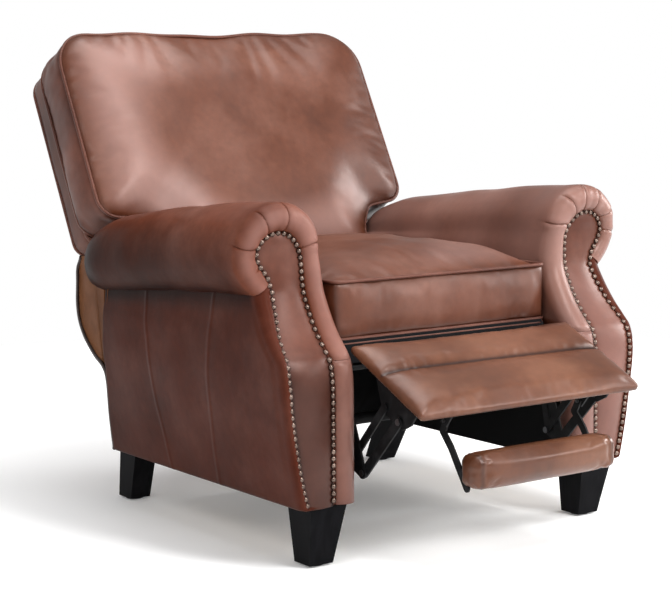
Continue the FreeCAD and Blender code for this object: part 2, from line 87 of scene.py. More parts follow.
def lookup(points, values):
    """Second coordinate of the smooth curve at first coordinates, which must rise along it."""
    line = dense(points)
    return np.interp(values, line[:, 0], line[:, 1])


def closed_loop(outline):
    """The outline with its first point again at its end."""
    return np.vstack([outline, outline[:1]])


def evenly(points, step, closed=False):
    """Points about one step apart along a polyline."""
    p = closed_loop(points) if closed else np.asarray(points, float)
    run = np.concatenate([[0], np.cumsum(np.linalg.norm(np.diff(p, axis=0), axis=1))])
    count = max(3, int(round(run[-1] / step)))
    wanted = np.linspace(0, run[-1], count + 1)
    if closed:
        wanted = wanted[:-1]
    return np.stack([np.interp(wanted, run, p[:, k]) for k in range(p.shape[1])], 1)


def smoothstep(x, low, high):
    t = np.clip((np.asarray(x, float) - low) / (high - low), 0, 1)
    return t * t * (3 - 2 * t)


def bell(x, width, power=2):
    """1 where x is 0, dying away on both sides of it within about a width."""
    return np.exp(-np.abs(x / width) ** power)


def waves(p, wavelength, seed):
    """Smooth repeatable noise, about -1 to 1, at points p."""
    rng = np.random.default_rng(seed)
    total = np.zeros(p.shape[:-1])
    for _ in range(8):
        way = rng.normal(size=3)
        way /= np.linalg.norm(way)
        steepness = rng.uniform(0.6, 1.6)
        total += np.sin(p @ way * (2 * math.pi / wavelength) * steepness + rng.uniform(0, 6.28))
    return total / 3.4


def world(p):
    return np.asarray(p, float) + np.array([0, Y_SHIFT, 0])


def on_side(points, sign):
    """Points of the +X arm, carried to the arm on the side of that sign."""
    return points * np.array([sign, 1, 1])


def rounded_outline(corners, step=0.006):
    """Closed outline of (x, y, radius) corners, each rounded by its radius."""
    out = []
    n = len(corners)
    for i in range(n):
        a, b, c = (np.array(corners[k % n][:2], float) for k in (i - 1, i, i + 1))
        radius = corners[i][2]
        u, v = (a - b) / np.linalg.norm(a - b), (c - b) / np.linalg.norm(c - b)
        half = math.acos(max(-1.0, min(1.0, float(u @ v)))) / 2
        back = radius / math.tan(half)
        centre = b + (u + v) / np.linalg.norm(u + v) * radius / math.sin(half)
        start, end = b + u * back - centre, b + v * back - centre
        turn = math.atan2(start[0] * end[1] - start[1] * end[0], float(start @ end))
        for f in np.linspace(0, 1, 10):
            cosine, sine = math.cos(turn * f), math.sin(turn * f)
            turned = [start[0] * cosine - start[1] * sine, start[0] * sine + start[1] * cosine]
            out.append(centre + np.array(turned))
    return evenly(np.array(out), step, closed=True)


def symmetric_outline(half):
    """Rounded outline of the corners on its +x half, from the lowest up, and their mirror images."""
    return rounded_outline(half + [(-x, h, radius) for x, h, radius in reversed(half)])


# ---- mesh helpers -------------------------------------------------------------------------------
def new_object(name, vertices, faces, material, tone=0.5):
    mesh = bpy.data.meshes.new(name)
    mesh.from_pydata([tuple(v) for v in vertices], [], [tuple(int(i) for i in f) for f in faces])
    mesh.materials.append(material)
    obj = bpy.data.objects.new(name, mesh)
    bpy.context.scene.collection.objects.link(obj)
    shade(obj, tone)
    return obj


def shade(obj, tone=0.5):
    """Smooth shading, and the tone of each vertex: 0 painted shade deep in a seam, 1 painted highlight with
    some wear on a crown.
    """
    mesh = obj.data
    mesh.polygons.foreach_set("use_smooth", np.ones(len(mesh.polygons), bool))
    layer = mesh.attributes.get("tone") or mesh.attributes.new("tone", "FLOAT", "POINT")
    values = np.broadcast_to(np.asarray(tone, float).ravel(), (len(mesh.vertices),)).astype(np.float32)
    layer.data.foreach_set("value", np.ascontiguousarray(values))
    mesh.update()


def grid_faces(rows, columns, wrap=False):
    i, j = np.meshgrid(np.arange(rows - 1), np.arange(columns if wrap else columns - 1), indexing="ij")
    k = (j + 1) % columns
    quads = np.stack([i * columns + j, i * columns + k, (i + 1) * columns + k, (i + 1) * columns + j], -1)
    return quads.reshape(-1, 4)


def grid_object(name, grid, material, tone, thick):
    """Sheet from a (rows, columns, 3) array, given its thickness inwards."""
    rows, columns, _ = grid.shape
    obj = new_object(name, grid.reshape(-1, 3), grid_faces(rows, columns), material, tone)
    solid = obj.modifiers.new("Thickness", "SOLIDIFY")
    solid.thickness = thick
    solid.offset = -1
    return obj


def tube(name, path, radius, material, sides=10):
    """Piping round a closed path, with a parallel-carried ring."""
    ahead = np.roll(path, -1, 0) - np.roll(path, 1, 0)
    ahead /= np.linalg.norm(ahead, axis=1)[:, None]
    side = np.cross(ahead[0], [0.31, 0.17, 0.93])
    side /= np.linalg.norm(side)
    angles = np.linspace(0, 2 * math.pi, sides, endpoint=False)
    rings = []
    for point, way in zip(path, ahead):
        side = side - way * (side @ way)
        side /= np.linalg.norm(side)
        other = np.cross(way, side)
        rings.append(point + radius * (np.cos(angles)[:, None] * side + np.sin(angles)[:, None] * other))
    rings = np.array(rings)
    faces = list(grid_faces(len(path), sides, wrap=True))
    # the last ring joins the first where their points lie nearest
    gap = [np.linalg.norm(rings[-1] - np.roll(rings[0], -k, 0)) for k in range(sides)]
    last, shift = (len(path) - 1) * sides, int(np.argmin(gap))
    for j in range(sides):
        k = (j + 1) % sides
        faces.append((last + j, last + k, (k + shift) % sides, (j + shift) % sides))
    obj = new_object(name, rings.reshape(-1, 3), faces, material, PIPING_TONE)
    face_outwards(obj)
    return obj


def face_outwards(obj):
    bm = bmesh.new()
    bm.from_mesh(obj.data)
    bmesh.ops.recalc_face_normals(bm, faces=bm.faces)
    bm.to_mesh(obj.data)
    bm.free()


def capped(name, rings, material):
    """Closed block from a (rings, points, 3) array, with flat ends."""
    rows, count, _ = rings.shape
    faces = list(grid_faces(rows, count, wrap=True))
    faces += [range(count), range((rows - 1) * count, rows * count)]
    obj = new_object(name, rings.reshape(-1, 3), faces, material)
    face_outwards(obj)
    return obj


def prism(name, outline, depths, place, material):
    """Closed block: the same outline at each depth, placed by place(outline, depth)."""
    return capped(name, np.array([place(outline, d) for d in depths]), material)


def remesh(obj, voxel):
    """Even quads all over, for a piece that will be inflated or displaced."""
    bpy.context.view_layer.objects.active = obj
    step = obj.modifiers.new("Remesh", "REMESH")
    step.mode = "VOXEL"
    step.voxel_size = voxel
    apply_modifiers(obj)


def apply_modifiers(obj):
    graph = bpy.context.evaluated_depsgraph_get()
    made = bpy.data.meshes.new_from_object(obj.evaluated_get(graph))
    old = obj.data
    obj.modifiers.clear()
    obj.data = made
    bpy.data.meshes.remove(old)
    made.name = obj.name


def read_vectors(items, key):
    values = np.zeros(len(items) * 3)
    items.foreach_get(key, values)
    return values.reshape(-1, 3)


def coordinates(obj):
    return read_vectors(obj.data.vertices, "co")


def normals(obj):
    return read_vectors(obj.data.vertices, "normal")


def set_coordinates(obj, co):
    obj.data.vertices.foreach_set("co", np.asarray(co, float).ravel())
    obj.data.update()


def push_out(obj, amount):
    """Moves each vertex along its normal."""
    set_coordinates(obj, coordinates(obj) + normals(obj) * amount[:, None])


def relax(obj, rounds):
    bm = bmesh.new()
    bm.from_mesh(obj.data)
    for _ in range(rounds):
        bmesh.ops.smooth_vert(bm, verts=bm.verts, factor=0.5, use_axis_x=True, use_axis_y=True,
                              use_axis_z=True)
    bm.to_mesh(obj.data)
    bm.free()


def seam_distance(co, seams):
    """Distance of each point to the nearest seam, and how far along the seams that nearest point is."""
    samples, along, run = [], [], 0.0
    for seam in seams:
        line = evenly(seam, SEAM_STEP)
        samples.append(line)
        along.append(run + np.arange(len(line)) * SEAM_STEP)
        run += len(line) * SEAM_STEP + 1.0
    samples, along = np.vstack(samples), np.concatenate(along)
    tree = KDTree(len(samples))
    for i, s in enumerate(samples):
        tree.insert(s, i)
    tree.balance()
    found = [tree.find(p) for p in co]
    return np.array([f[2] for f in found]), along[[f[1] for f in found]]


def gather(obj, seams, depth, spacing, reach, seed):
    """Small puckers that run away from a seam and die out."""
    away, along = seam_distance(coordinates(obj), seams)
    rng = np.random.default_rng(seed)
    line = np.stack([along, along * 0, along * 0], 1)
    phase = waves(line, spacing * 3.1, seed) * 2.2 + rng.uniform(0, 6)
    strength = 0.5 + 0.5 * waves(line, spacing * 7.3, seed + 1)
    fade = bell(away - 0.006, reach) * smoothstep(away, 0.0, 0.01)
    push_out(obj, depth * fade * strength * np.sin(along * 2 * math.pi / spacing + phase))
    return away


def undulate(obj, depth, wavelength, seed):
    """Broad unevenness, as hide over loose fibre has."""
    push_out(obj, depth * waves(coordinates(obj), wavelength, seed))


def inflate(obj, seams, cap, pressure=4.0, shrink=-0.015, hold=0.007):
    """Cloth under air pressure, held along its seams; no point moves further than cap."""
    rest = coordinates(obj)
    away, _ = seam_distance(rest, seams)
    group = obj.vertex_groups.new(name="held")
    group.add([int(i) for i in np.nonzero(away < hold)[0]], 1.0, "REPLACE")
    cloth = obj.modifiers.new("Cloth", "CLOTH")
    settings = cloth.settings
    for key, value in CLOTH_SETTINGS.items():
        setattr(settings, key, value)
    settings.shrink_min = shrink
    settings.use_pressure = True
    settings.uniform_pressure_force = pressure
    settings.vertex_group_mass = "held"
    settings.effector_weights.gravity = 0
    cloth.collision_settings.use_collision = False
    cloth.point_cache.frame_start = 1
    cloth.point_cache.frame_end = CLOTH_FRAMES
    scene = bpy.context.scene
    for number in range(1, CLOTH_FRAMES + 1):
        scene.frame_set(number)
    graph = bpy.context.evaluated_depsgraph_get()
    made = coordinates(obj.evaluated_get(graph))
    obj.modifiers.clear()
    obj.vertex_groups.clear()
    scene.frame_set(1)
    move = made - rest
    length = np.linalg.norm(move, axis=1)
    move *= (cap * np.tanh(length / cap) / np.maximum(length, 1e-9))[:, None]
    set_coordinates(obj, rest + move)


def finish_piece(obj, body, replaced=()):
    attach(obj, body)
    if replaced:
        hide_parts(*replaced)


def welt(name, rim, radius, body, step=0.007):
    """Piping round a closed rim."""
    path = evenly(rim, step, closed=True)
    finish_piece(tube(name, path, radius, BROWN), body)


# ---- materials ----------------------------------------------------------------------------------
def new_material(name):
    """Material, its node tree and shader, and the place of each point in its object."""
    material = bpy.data.materials.new(name)
    material.use_nodes = True
    tree = material.node_tree
    shader = next(n for n in tree.nodes if n.type == "BSDF_PRINCIPLED")
    place = add(tree, "ShaderNodeTexCoord").outputs["Object"]
    return material, tree, shader, place


def feed(tree, node, sockets):
    """Joins sockets to the node's inputs of those names."""
    for key, socket in sockets.items():
        tree.links.new(socket, node.inputs[key])


def grey(level):
    return (level, level, level)


def add(tree, kind, links=None, **values):
    """New node; values set plain settings or inputs by name, links join other sockets to inputs."""
    made = tree.nodes.new(kind)
    for key, value in values.items():
        if hasattr(made, key):
            setattr(made, key, value)
        else:
            made.inputs[key.replace("_", " ")].default_value = value
    feed(tree, made, links or {})
    return made


def ramp(tree, fac, stops):
    made = add(tree, "ShaderNodeValToRGB", {"Fac": fac})
    while len(made.color_ramp.elements) < len(stops):
        made.color_ramp.elements.new(0.5)
    for element, (place, colour) in zip(made.color_ramp.elements, stops):
        element.position = place
        element.color = (*colour, 1)
    return made.outputs["Color"]


def mix(tree, fac, a, b, blend="MIX"):
    """Colour mix; fac, a and b are sockets or plain values."""
    made = tree.nodes.new("ShaderNodeMix")
    made.data_type = "RGBA"
    made.blend_type = blend
    for index, value in ((0, fac), (6, a), (7, b)):
        if isinstance(value, bpy.types.NodeSocket):
            tree.links.new(value, made.inputs[index])
        elif index == 0:
            made.inputs[0].default_value = value
        else:
            made.inputs[index].default_value = (*value, 1)
    return made.outputs[2]


def scaled_noise(tree, place, scale, detail=2.0, roughness=0.5):
    made = add(tree, "ShaderNodeTexNoise", {"Vector": place}, Scale=scale, Detail=detail,
               Roughness=roughness)
    return made.outputs["Fac"]


def spread(tree, value, low, high):
    made = add(tree, "ShaderNodeMapRange", {"Value": value})
    made.inputs["From Min"].default_value, made.inputs["From Max"].default_value = 0.3, 0.7
    made.inputs["To Min"].default_value, made.inputs["To Max"].default_value = low, high
    return made.outputs["Result"]


def bump(tree, height, strength, distance, normal=None):
    links = {"Height": height}
    if normal is not None:
        links["Normal"] = normal
    return add(tree, "ShaderNodeBump", links, Strength=strength, Distance=distance).outputs["Normal"]


def leather(name, hide, rough=(0.35, 0.46), gloss=0.5):
    """Mottled hide: cloudy tone, redder patches, painted shade in seams and painted highlight from the tone,
    pebbled grain, fine creases.
    """
    dark, middle, light, red = hide
    material, tree, shader, place = new_material(name)
    cloudy = scaled_noise(tree, place, 4.2, 4.0, 0.6)
    patches = scaled_noise(tree, place, 6.5, 3.0, 0.55)
    fine = scaled_noise(tree, place, 70.0, 4.0, 0.6)
    colour = ramp(tree, cloudy, [(0.35, dark), (0.5, middle), (0.65, light)])
    colour = mix(tree, spread(tree, patches, 0.0, 0.55), colour, red)
    speckle = ramp(tree, fine, [(0.3, grey(0.78)), (0.7, (1.12, 1.1, 1.08))])
    colour = mix(tree, 0.55, colour, speckle, "MULTIPLY")
    tone = add(tree, "ShaderNodeAttribute", attribute_name="tone").outputs["Fac"]
    # painted shade: a low tone darkens the colour, deepest in seams and creases
    painted_shading = ramp(tree, tone, [(0.0, (0.16, 0.12, 0.11)), (0.5, (0.84, 0.82, 0.82)), (1.0, grey(1.0))])
    colour = mix(tree, 1.0, colour, painted_shading, "MULTIPLY")
    # painted highlight, partly wear: a high tone pales the colour towards a pinkish sheen
    wear_and_painted_highlight = ramp(tree, tone, [(0.0, grey(0)), (0.5, grey(0)), (1.0, grey(0.6))])
    colour = mix(tree, wear_and_painted_highlight, colour, (0.37, 0.225, 0.2))
    pebbles = add(tree, "ShaderNodeTexVoronoi", {"Vector": place}, feature="SMOOTH_F1", Scale=520.0)
    creases = scaled_noise(tree, place, 48.0, 6.0, 0.62)
    lumps = scaled_noise(tree, place, 14.0, 2.0)
    normal = bump(tree, lumps, 0.22, 0.005)
    normal = bump(tree, creases, 0.2, 0.0013, normal)
    normal = bump(tree, pebbles.outputs["Distance"], 0.18, 0.0003, normal)
    rough_patches = spread(tree, patches, *rough)
    feed(tree, shader, {"Base Color": colour, "Roughness": rough_patches, "Normal": normal})
    shader.inputs["Specular IOR Level"].default_value = gloss
    shader.inputs["Specular Tint"].default_value = (1.0, 0.8, 0.75, 1)
    return material


def stained_wood(name, dark, light, rough, stretch):
    """Straight grain, drawn out along the axis whose stretch is least."""
    material, tree, shader, place = new_material(name)
    drawn = add(tree, "ShaderNodeMapping", {"Vector": place})
    drawn.inputs["Scale"].default_value = stretch
    grain = scaled_noise(tree, drawn.outputs["Vector"], 9.0, 6.0, 0.6)
    feed(tree, shader, {"Base Color": ramp(tree, grain, [(0.35, dark), (0.65, light)]),
                        "Roughness": spread(tree, grain, *rough),
                        "Normal": bump(tree, grain, 0.15, 0.0006)})
    shader.inputs["Specular IOR Level"].default_value = 0.04
    return material


def coated_steel(name, colour, rough, metallic=0.0):
    """Painted or plated steel with slight scuffs."""
    material, tree, shader, place = new_material(name)
    scuffs = scaled_noise(tree, place, 38.0, 5.0, 0.65)
    bright = tuple(min(1.0, c * 1.9 + 0.01) for c in colour)
    feed(tree, shader, {"Base Color": ramp(tree, scuffs, [(0.45, colour), (0.75, bright)]),
                        "Roughness": spread(tree, scuffs, *rough),
                        "Normal": bump(tree, scuffs, 0.08, 0.0004)})
    shader.inputs["Metallic"].default_value = metallic
    shader.inputs["Specular IOR Level"].default_value = 0.5 if metallic else 0.15
    return material


def woven(name, colour, pale, scale):
    """Plain weave in all three planes, from crossed wave patterns."""
    material, tree, shader, place = new_material(name)
    threads = []
    for way in ("X", "Y", "Z"):
        wave = add(tree, "ShaderNodeTexWave", {"Vector": place}, bands_direction=way, Scale=scale,
                   Distortion=0.4)
        threads.append(wave.outputs["Fac"])
    weave = mix(tree, 0.5, threads[0], threads[1])
    weave = mix(tree, 0.4, weave, threads[2])
    feed(tree, shader, {"Base Color": ramp(tree, weave, [(0.2, colour), (0.8, pale)]),
                        "Normal": bump(tree, weave, 0.4, 0.0005)})
    shader.inputs["Roughness"].default_value = 0.95
    shader.inputs["Specular IOR Level"].default_value = 0.1
    return material


def lifted(hide, lift):
    return [tuple(lift * channel for channel in colour) for colour in hide]


# hides: dark, middle, light and reddish colour
BROWN_HIDE = ((0.042, 0.011, 0.006), (0.088, 0.026, 0.014), (0.15, 0.058, 0.039), (0.11, 0.027, 0.012))
PALE_HIDE = ((0.06, 0.017, 0.008), (0.105, 0.033, 0.016), (0.175, 0.075, 0.05), (0.135, 0.034, 0.011))
TAN_HIDE = ((0.075, 0.022, 0.009), (0.125, 0.042, 0.019), (0.185, 0.078, 0.046), (0.15, 0.043, 0.016))
FOOT_HIDE = ((0.044, 0.014, 0.006), (0.096, 0.032, 0.013), (0.172, 0.071, 0.037), (0.122, 0.036, 0.012))
TAIL_HIDE = ((0.10, 0.040, 0.018), (0.19, 0.084, 0.041), (0.29, 0.145, 0.082), (0.23, 0.090, 0.036))
# the outer sides' hide is painted darker: painted shade for the sides turned from the light
SHADED_SIDE_HIDE = ((0.032, 0.007, 0.0035), (0.06, 0.013, 0.006), (0.095, 0.03, 0.019), (0.085, 0.018, 0.008))
EDGE_HIDE = ((0.010, 0.006, 0.005), (0.016, 0.009, 0.008), (0.025, 0.014, 0.011), (0.018, 0.008, 0.006))

BROWN = leather("brown_leather", BROWN_HIDE, gloss=0.32)
PALE = leather("pale_leather", PALE_HIDE)
TAN = leather("tan_leather", TAN_HIDE)
# the brown hide lifted, with little gloss: the lift is painted sheen standing in for the gloss it drops
ROLL_LEATHER = leather("roll_leather", lifted(BROWN_HIDE, 1.28), gloss=0.04)
BORDER_LEATHER = leather("border_leather", lifted(BROWN_HIDE, 1.5), gloss=0.32)
FOOT_LEATHER = leather("foot_leather", FOOT_HIDE, rough=(0.3, 0.42))
TAIL_LEATHER = leather("tail_leather", TAIL_HIDE, gloss=0.06)
SHADED_SIDE_LEATHER = leather("shaded_side_leather", SHADED_SIDE_HIDE, gloss=0.06)
EDGE = leather("edge_leather", EDGE_HIDE)
BLACK_WOOD = stained_wood("black_wood", (0.0015, 0.0015, 0.002), (0.005, 0.005, 0.006), (0.4, 0.52),
                          (8, 8, 0.8))
FRAME_WOOD = stained_wood("frame_wood", (0.3, 0.2, 0.11), (0.52, 0.38, 0.24), (0.55, 0.7), (6, 1, 6))
BRONZE = coated_steel("antique_bronze", (0.125, 0.09, 0.074), (0.28, 0.42), 1.0)
BLACK_STEEL = coated_steel("black_steel", (0.004, 0.004, 0.0045), (0.5, 0.65))
BRIGHT_STEEL = coated_steel("plated_steel", (0.10, 0.10, 0.105), (0.35, 0.5), 1.0)
CLOTH = woven("black_cloth", (0.0025, 0.0025, 0.0025), (0.008, 0.008, 0.009), 320.0)
WEBBING = woven("jute_webbing", (0.2, 0.14, 0.07), (0.42, 0.33, 0.2), 260.0)
NYLON = coated_steel("nylon", (0.02, 0.02, 0.021), (0.45, 0.6))

# ---- arms: data for the +X arm -------------------------------------------------------------------
# front face seen from the side, as (z, y)
FRONT = [(0.12, -0.027), (0.18, -0.027), (0.26, -0.027), (0.34, -0.027), (0.385, -0.019), (0.408, 0.0),
         (0.436, 0.025), (0.475, 0.050), (0.51, 0.066), (0.545, 0.070), (0.58, 0.070), (0.62, 0.064),
         (0.69, 0.053)]
ROLL_X, ROLL_Z, ROLL_R = 0.3745, 0.584, 0.09
# trim line and outer edge, matched point for point, from the inner foot over the scroll to the neck;
# columns: nail x, nail z, edge x, edge z, how far the padding stands forward, how far behind it turns
COVER = [(0.326, 0.122, 0.272, 0.120, 0.010, 0.022), (0.325, 0.260, 0.272, 0.260, 0.011, 0.022),
         (0.325, 0.400, 0.272, 0.400, 0.012, 0.022), (0.325, 0.500, 0.2735, 0.500, 0.013, 0.020),
         (0.3255, 0.540, 0.278, 0.545, 0.013, 0.018), (0.328, 0.575, 0.2845, 0.580, 0.013, 0.016),
         (0.335, 0.592, 0.2917, 0.619, 0.013, 0.015), (0.343, 0.603, 0.3076, 0.6442, 0.014, 0.015),
         (0.353, 0.612, 0.3322, 0.6635, 0.014, 0.015), (0.364, 0.618, 0.3527, 0.6713, 0.015, 0.015),
         (0.377, 0.6205, 0.3745, 0.674, 0.015, 0.015), (0.389, 0.620, 0.3963, 0.6713, 0.015, 0.015),
         (0.401, 0.616, 0.4195, 0.6619, 0.014, 0.015), (0.412, 0.608, 0.4414, 0.6442, 0.013, 0.015),
         (0.420, 0.598, 0.4567, 0.6206, 0.012, 0.015), (0.425, 0.584, 0.4643, 0.5903, 0.011, 0.016),
         (0.421, 0.567, 0.4606, 0.5577, 0.010, 0.017), (0.413, 0.554, 0.4491, 0.5337, 0.009, 0.018),
         (0.404, 0.542, 0.4347, 0.5171, 0.008, 0.018), (0.397, 0.530, 0.4235, 0.5085, 0.006, 0.016)]
# the same from the neck down the outer side
SIDE = [(0.3975, 0.534, 0.418, 0.520, 0.004, 0.014), (0.394, 0.512, 0.4215, 0.503, 0.004, 0.014),
        (0.397, 0.490, 0.4235, 0.487, 0.005, 0.014), (0.400, 0.470, 0.425, 0.468, 0.006, 0.014),
        (0.411, 0.425, 0.4295, 0.424, 0.006, 0.013), (0.419, 0.380, 0.4305, 0.380, 0.005, 0.012),
        (0.419, 0.340, 0.430, 0.340, 0.005, 0.012), (0.414, 0.282, 0.4235, 0.282, 0.005, 0.012),
        (0.402, 0.203, 0.4115, 0.203, 0.005, 0.012), (0.392, 0.155, 0.4025, 0.155, 0.005, 0.012),
        (0.385, 0.128, 0.3965, 0.126, 0.005, 0.012)]
# roll along the arm, as (y, centre z, radius)
ROLL = [(0.03, 0.584, 0.090), (0.163, 0.580, 0.089), (0.345, 0.566, 0.087), (0.54, 0.546, 0.0848),
        (0.62, 0.5375, 0.082), (0.67, 0.5305, 0.079), (0.70, 0.526, 0.0755), (0.718, 0.5225, 0.0715),
        (0.729, 0.5205, 0.065), (0.737, 0.519, 0.055), (0.7415, 0.518, 0.042), (0.744, 0.5175, 0.025),
        (0.745, 0.517, 0.004)]
# how much higher the rear of the roll lies on each arm than ROLL says
ROLL_RISE = {"left": 0.001, "right": -0.003}
# rear edge of the arm's tail, as (y, z) from the foot up
TAIL = [(0.690, 0.120), (0.676, 0.200), (0.664, 0.270), (0.672, 0.300), (0.701, 0.319), (0.738, 0.352),
        (0.764, 0.386), (0.776, 0.425), (0.783, 0.478), (0.785, 0.505), (0.776, 0.528)]
# pleats over the scroll, for each arm: angle from straight outwards in degrees, and how far each
# runs across the cover, in columns of its grid
PLEATS = {"left": ((-6, 26), (30, 26), (65, 24), (95, 26), (127, 24), (166, 26)),
          "right": ((-34, 11), (10, 26), (55, 24), (95, 25), (172, 26))}
# painted light: the left arm's leather is painted paler than the right arm's, for the brighter light on it,
# and the right arm's front padding is given the stronger painted highlight
ARM_PAINTED_LIGHT_TONE = {"left": 0.67, "right": 0.53}
PADDING_PAINTED_HIGHLIGHT = {"left": 0.14, "right": 0.24}
# painted shade: how much darker the flat front panel is painted in the scroll and low down
PANEL_PAINTED_SHADE = {"left": (0.22, 0.0), "right": (0.06, 0.40)}
FRONT_COLUMNS = 26    # columns of the arm cover's grid that lie on the padding round the front
SIDE_COLUMNS = 14     # the same of the side cover's grid
LINER_T = 1.90        # place along COVER where the cloth lining under the seat ends, z 0.386
NECK_T = 18.4         # place along COVER where the nails leave it for SIDE, at SIDE_NECK_T
SIDE_NECK_T = 0.9
INSIDE_END = 0.70     # y where the inside panel ends, behind the seat cushion
LIFT = 0.002          # how far the leather lies in front of the arm's front
# y of each seam on the outer side, at z 0.45 and at z 0.15
SIDE_SEAMS = ((0.474, 0.437), (0.223, 0.249))
# how the outer side's foot turns in under the arm, as steps (x, z) from its lowest row
HEM = ((-0.0008, -0.003), (-0.003, -0.005), (-0.008, -0.006), (-0.03, -0.006))
# the tail's inner side, and how far its top is drawn outwards so that the back clears it
TAIL_INNER_X, TAIL_DRAW = 0.2735, 0.034
# section of a nailhead from its crown, as (radius, height)
NAIL_SHAPE = [(0.0, 0.0036), (0.0018, 0.0033), (0.0035, 0.0025), (0.0047, 0.0013), (0.0052, 0.0003),
              (0.0048, -0.0015)]
NAIL_PITCH = 0.013
NAIL_SIDES = 14


def front_y(z):
    return lookup(FRONT, z)


def front_profile(share, width, bulge, turn):
    """Offsets across the padding, for shares 0 (nails) to 1 (edge): how far sideways and how far back."""
    seam, crown, top = 0.12, 0.48, 0.45
    rise = np.clip((share - seam) / (top - seam), 0, 1) * math.pi / 2
    fall = np.clip((share - top) / 0.55, 0, 1) * math.pi / 2
    across = seam * np.minimum(share / seam, 1) + (crown - seam) * (1 - np.cos(rise))
    across = across + (1 - crown) * np.sin(fall)
    back = -bulge * np.sin(rise) + (bulge + turn) * (1 - np.cos(fall))
    return across * width, back


def roll_section(x, z, y, share):
    """Carries a point of the front edge back along the arm; share 1 follows the roll's shrinking section."""
    centre = lookup([(place, height) for place, height, _ in ROLL], y)
    scale = lookup([(place, radius) for place, _, radius in ROLL], y) / ROLL_R
    middle = ROLL_X - 0.062 * np.minimum(1 - scale, 0.18)
    along_x = middle + (x - ROLL_X) * scale
    along_z = centre + (z - ROLL_Z) * scale
    return x + (along_x - x) * share, z + (along_z - z) * share


def arm_sheet(data, t, share, y_end, runs, front_samples=FRONT_COLUMNS):
    """Leather sheet from the nails over the padding and back along the arm, as a (t, columns, 3) grid."""
    values = at(data, t)
    shares = np.linspace(0, 1, front_samples)
    rows = []
    for (nx, nz, ox, oz, bulge, turn), w, end in zip(values, share, y_end):
        width = math.hypot(ox - nx, oz - nz)
        across, back = front_profile(shares, width, bulge, turn)
        x, z = nx + (ox - nx) * across / width, nz + (oz - nz) * across / width
        y = front_y(z) + LIFT + back
        # the leather turns onto the roll's section smoothly where it leaves the front
        start = y[-1]
        y_run = start + (end - start) * runs
        settle = smoothstep(y_run, start, start + 0.05)
        rx, rz = roll_section(ox, oz, y_run, w)
        x_run, z_run = ox + (rx - ox) * settle, oz + (rz - oz) * settle
        rows.append(np.stack([np.concatenate([x, x_run[1:]]), np.concatenate([y, y_run[1:]]),
                              np.concatenate([z, z_run[1:]])], 1))
    return np.array(rows)


def sheet_normals(grid):
    du = np.gradient(grid, axis=0)
    dv = np.gradient(grid, axis=1)
    n = np.cross(du, dv)
    return n / np.maximum(np.linalg.norm(n, axis=2), 1e-12)[..., None]


def front_painted_highlight(columns):
    """Painted highlight on the crown of the padding round the front."""
    return bell(columns - 13, 6.0)


def arm_foot(side):
    """Inside of the arm below the seat, where the leather only turns round the front corner."""
    t = np.linspace(0, LINER_T, 24)
    grid = arm_sheet(COVER, t, np.zeros(len(t)), np.full(len(t), 0.013), np.linspace(0, 1, 10))
    columns = np.arange(grid.shape[1])
    # painted shade in the groove by the nails, and painted highlight on the padding's crown
    tone = ARM_PAINTED_LIGHT_TONE[side] - 0.4 * bell(columns, 3.2) + 0.12 * front_painted_highlight(columns)
    return world(grid), np.broadcast_to(tone, grid.shape[:2])


def pleats(side, angle, reach, columns):
    """How far the pleats push the cover out, and how deep in a pleat each point lies, 0 to 1."""
    push, valleys = np.zeros(angle.shape), np.zeros(angle.shape)
    for k, (pleat, length) in enumerate(PLEATS[side]):
        wobble = 3.0 * np.sin(columns * 0.19 + 2.1 * k)
        lively = smoothstep(columns, 1, 6) * (1 - smoothstep(columns, length - 7, length + 1))
        gap = np.radians(angle - pleat - wobble) * np.maximum(reach, 0.05)
        valley = bell(gap, 0.0017, 1.3)
        push += lively * (bell(np.abs(gap) - 0.008, 0.007) * 0.0012 - valley * 0.0042)
        valleys += lively * valley
    return push, np.clip(valleys, 0, 1)


def arm_cover(side):
    """Inside face, roll and pleated scroll of one arm, which are one pulled leather cover."""
    t = np.concatenate([np.linspace(LINER_T, 4.2, 26), np.linspace(4.3, 19, 250)])
    share = smoothstep(t, 3.2, 6.0)
    y_end = INSIDE_END + share * (ROLL[-1][0] - INSIDE_END)
    runs = 1 - (1 - np.linspace(0, 1, 90)) ** 1.6
    grid = arm_sheet(COVER, t, share, y_end, runs)
    grid[..., 2] += ROLL_RISE[side] * share[:, None] * smoothstep(grid[..., 1], 0.42, 0.68)
    angle = np.degrees(np.arctan2(grid[..., 2] - ROLL_Z, grid[..., 0] - ROLL_X))
    angle = np.where(angle < -120, angle + 360, angle)
    reach = np.linalg.norm(grid[..., [0, 2]] - [ROLL_X, ROLL_Z], axis=2)
    columns = np.arange(grid.shape[1])
    push, valleys = pleats(side, angle, reach, columns)
    soft = waves(world(grid), 0.16, 3) * 0.0012 * smoothstep(columns, 20, 40)
    grid = grid + sheet_normals(grid) * (push + soft)[..., None]
    # painted shade under the roll at the neck, on the roll's outer face turned from the light, in the pleat
    # valleys and in the groove by the nails; painted highlight on the front padding's crown
    neck = smoothstep(t, 17.2, 19)[:, None] * smoothstep(columns, 26, 40)
    outer = 1 - smoothstep(angle, -40, 50)
    tone = ARM_PAINTED_LIGHT_TONE[side] - 0.42 * valleys - 0.42 * bell(columns, 3.6) - 0.3 * neck
    tone = tone - 0.44 * outer * smoothstep(columns, 22, 30)
    tone = tone + PADDING_PAINTED_HIGHLIGHT[side] * front_painted_highlight(columns) + 0.05 * waves(world(grid), 0.2, 7)
    return world(grid), tone


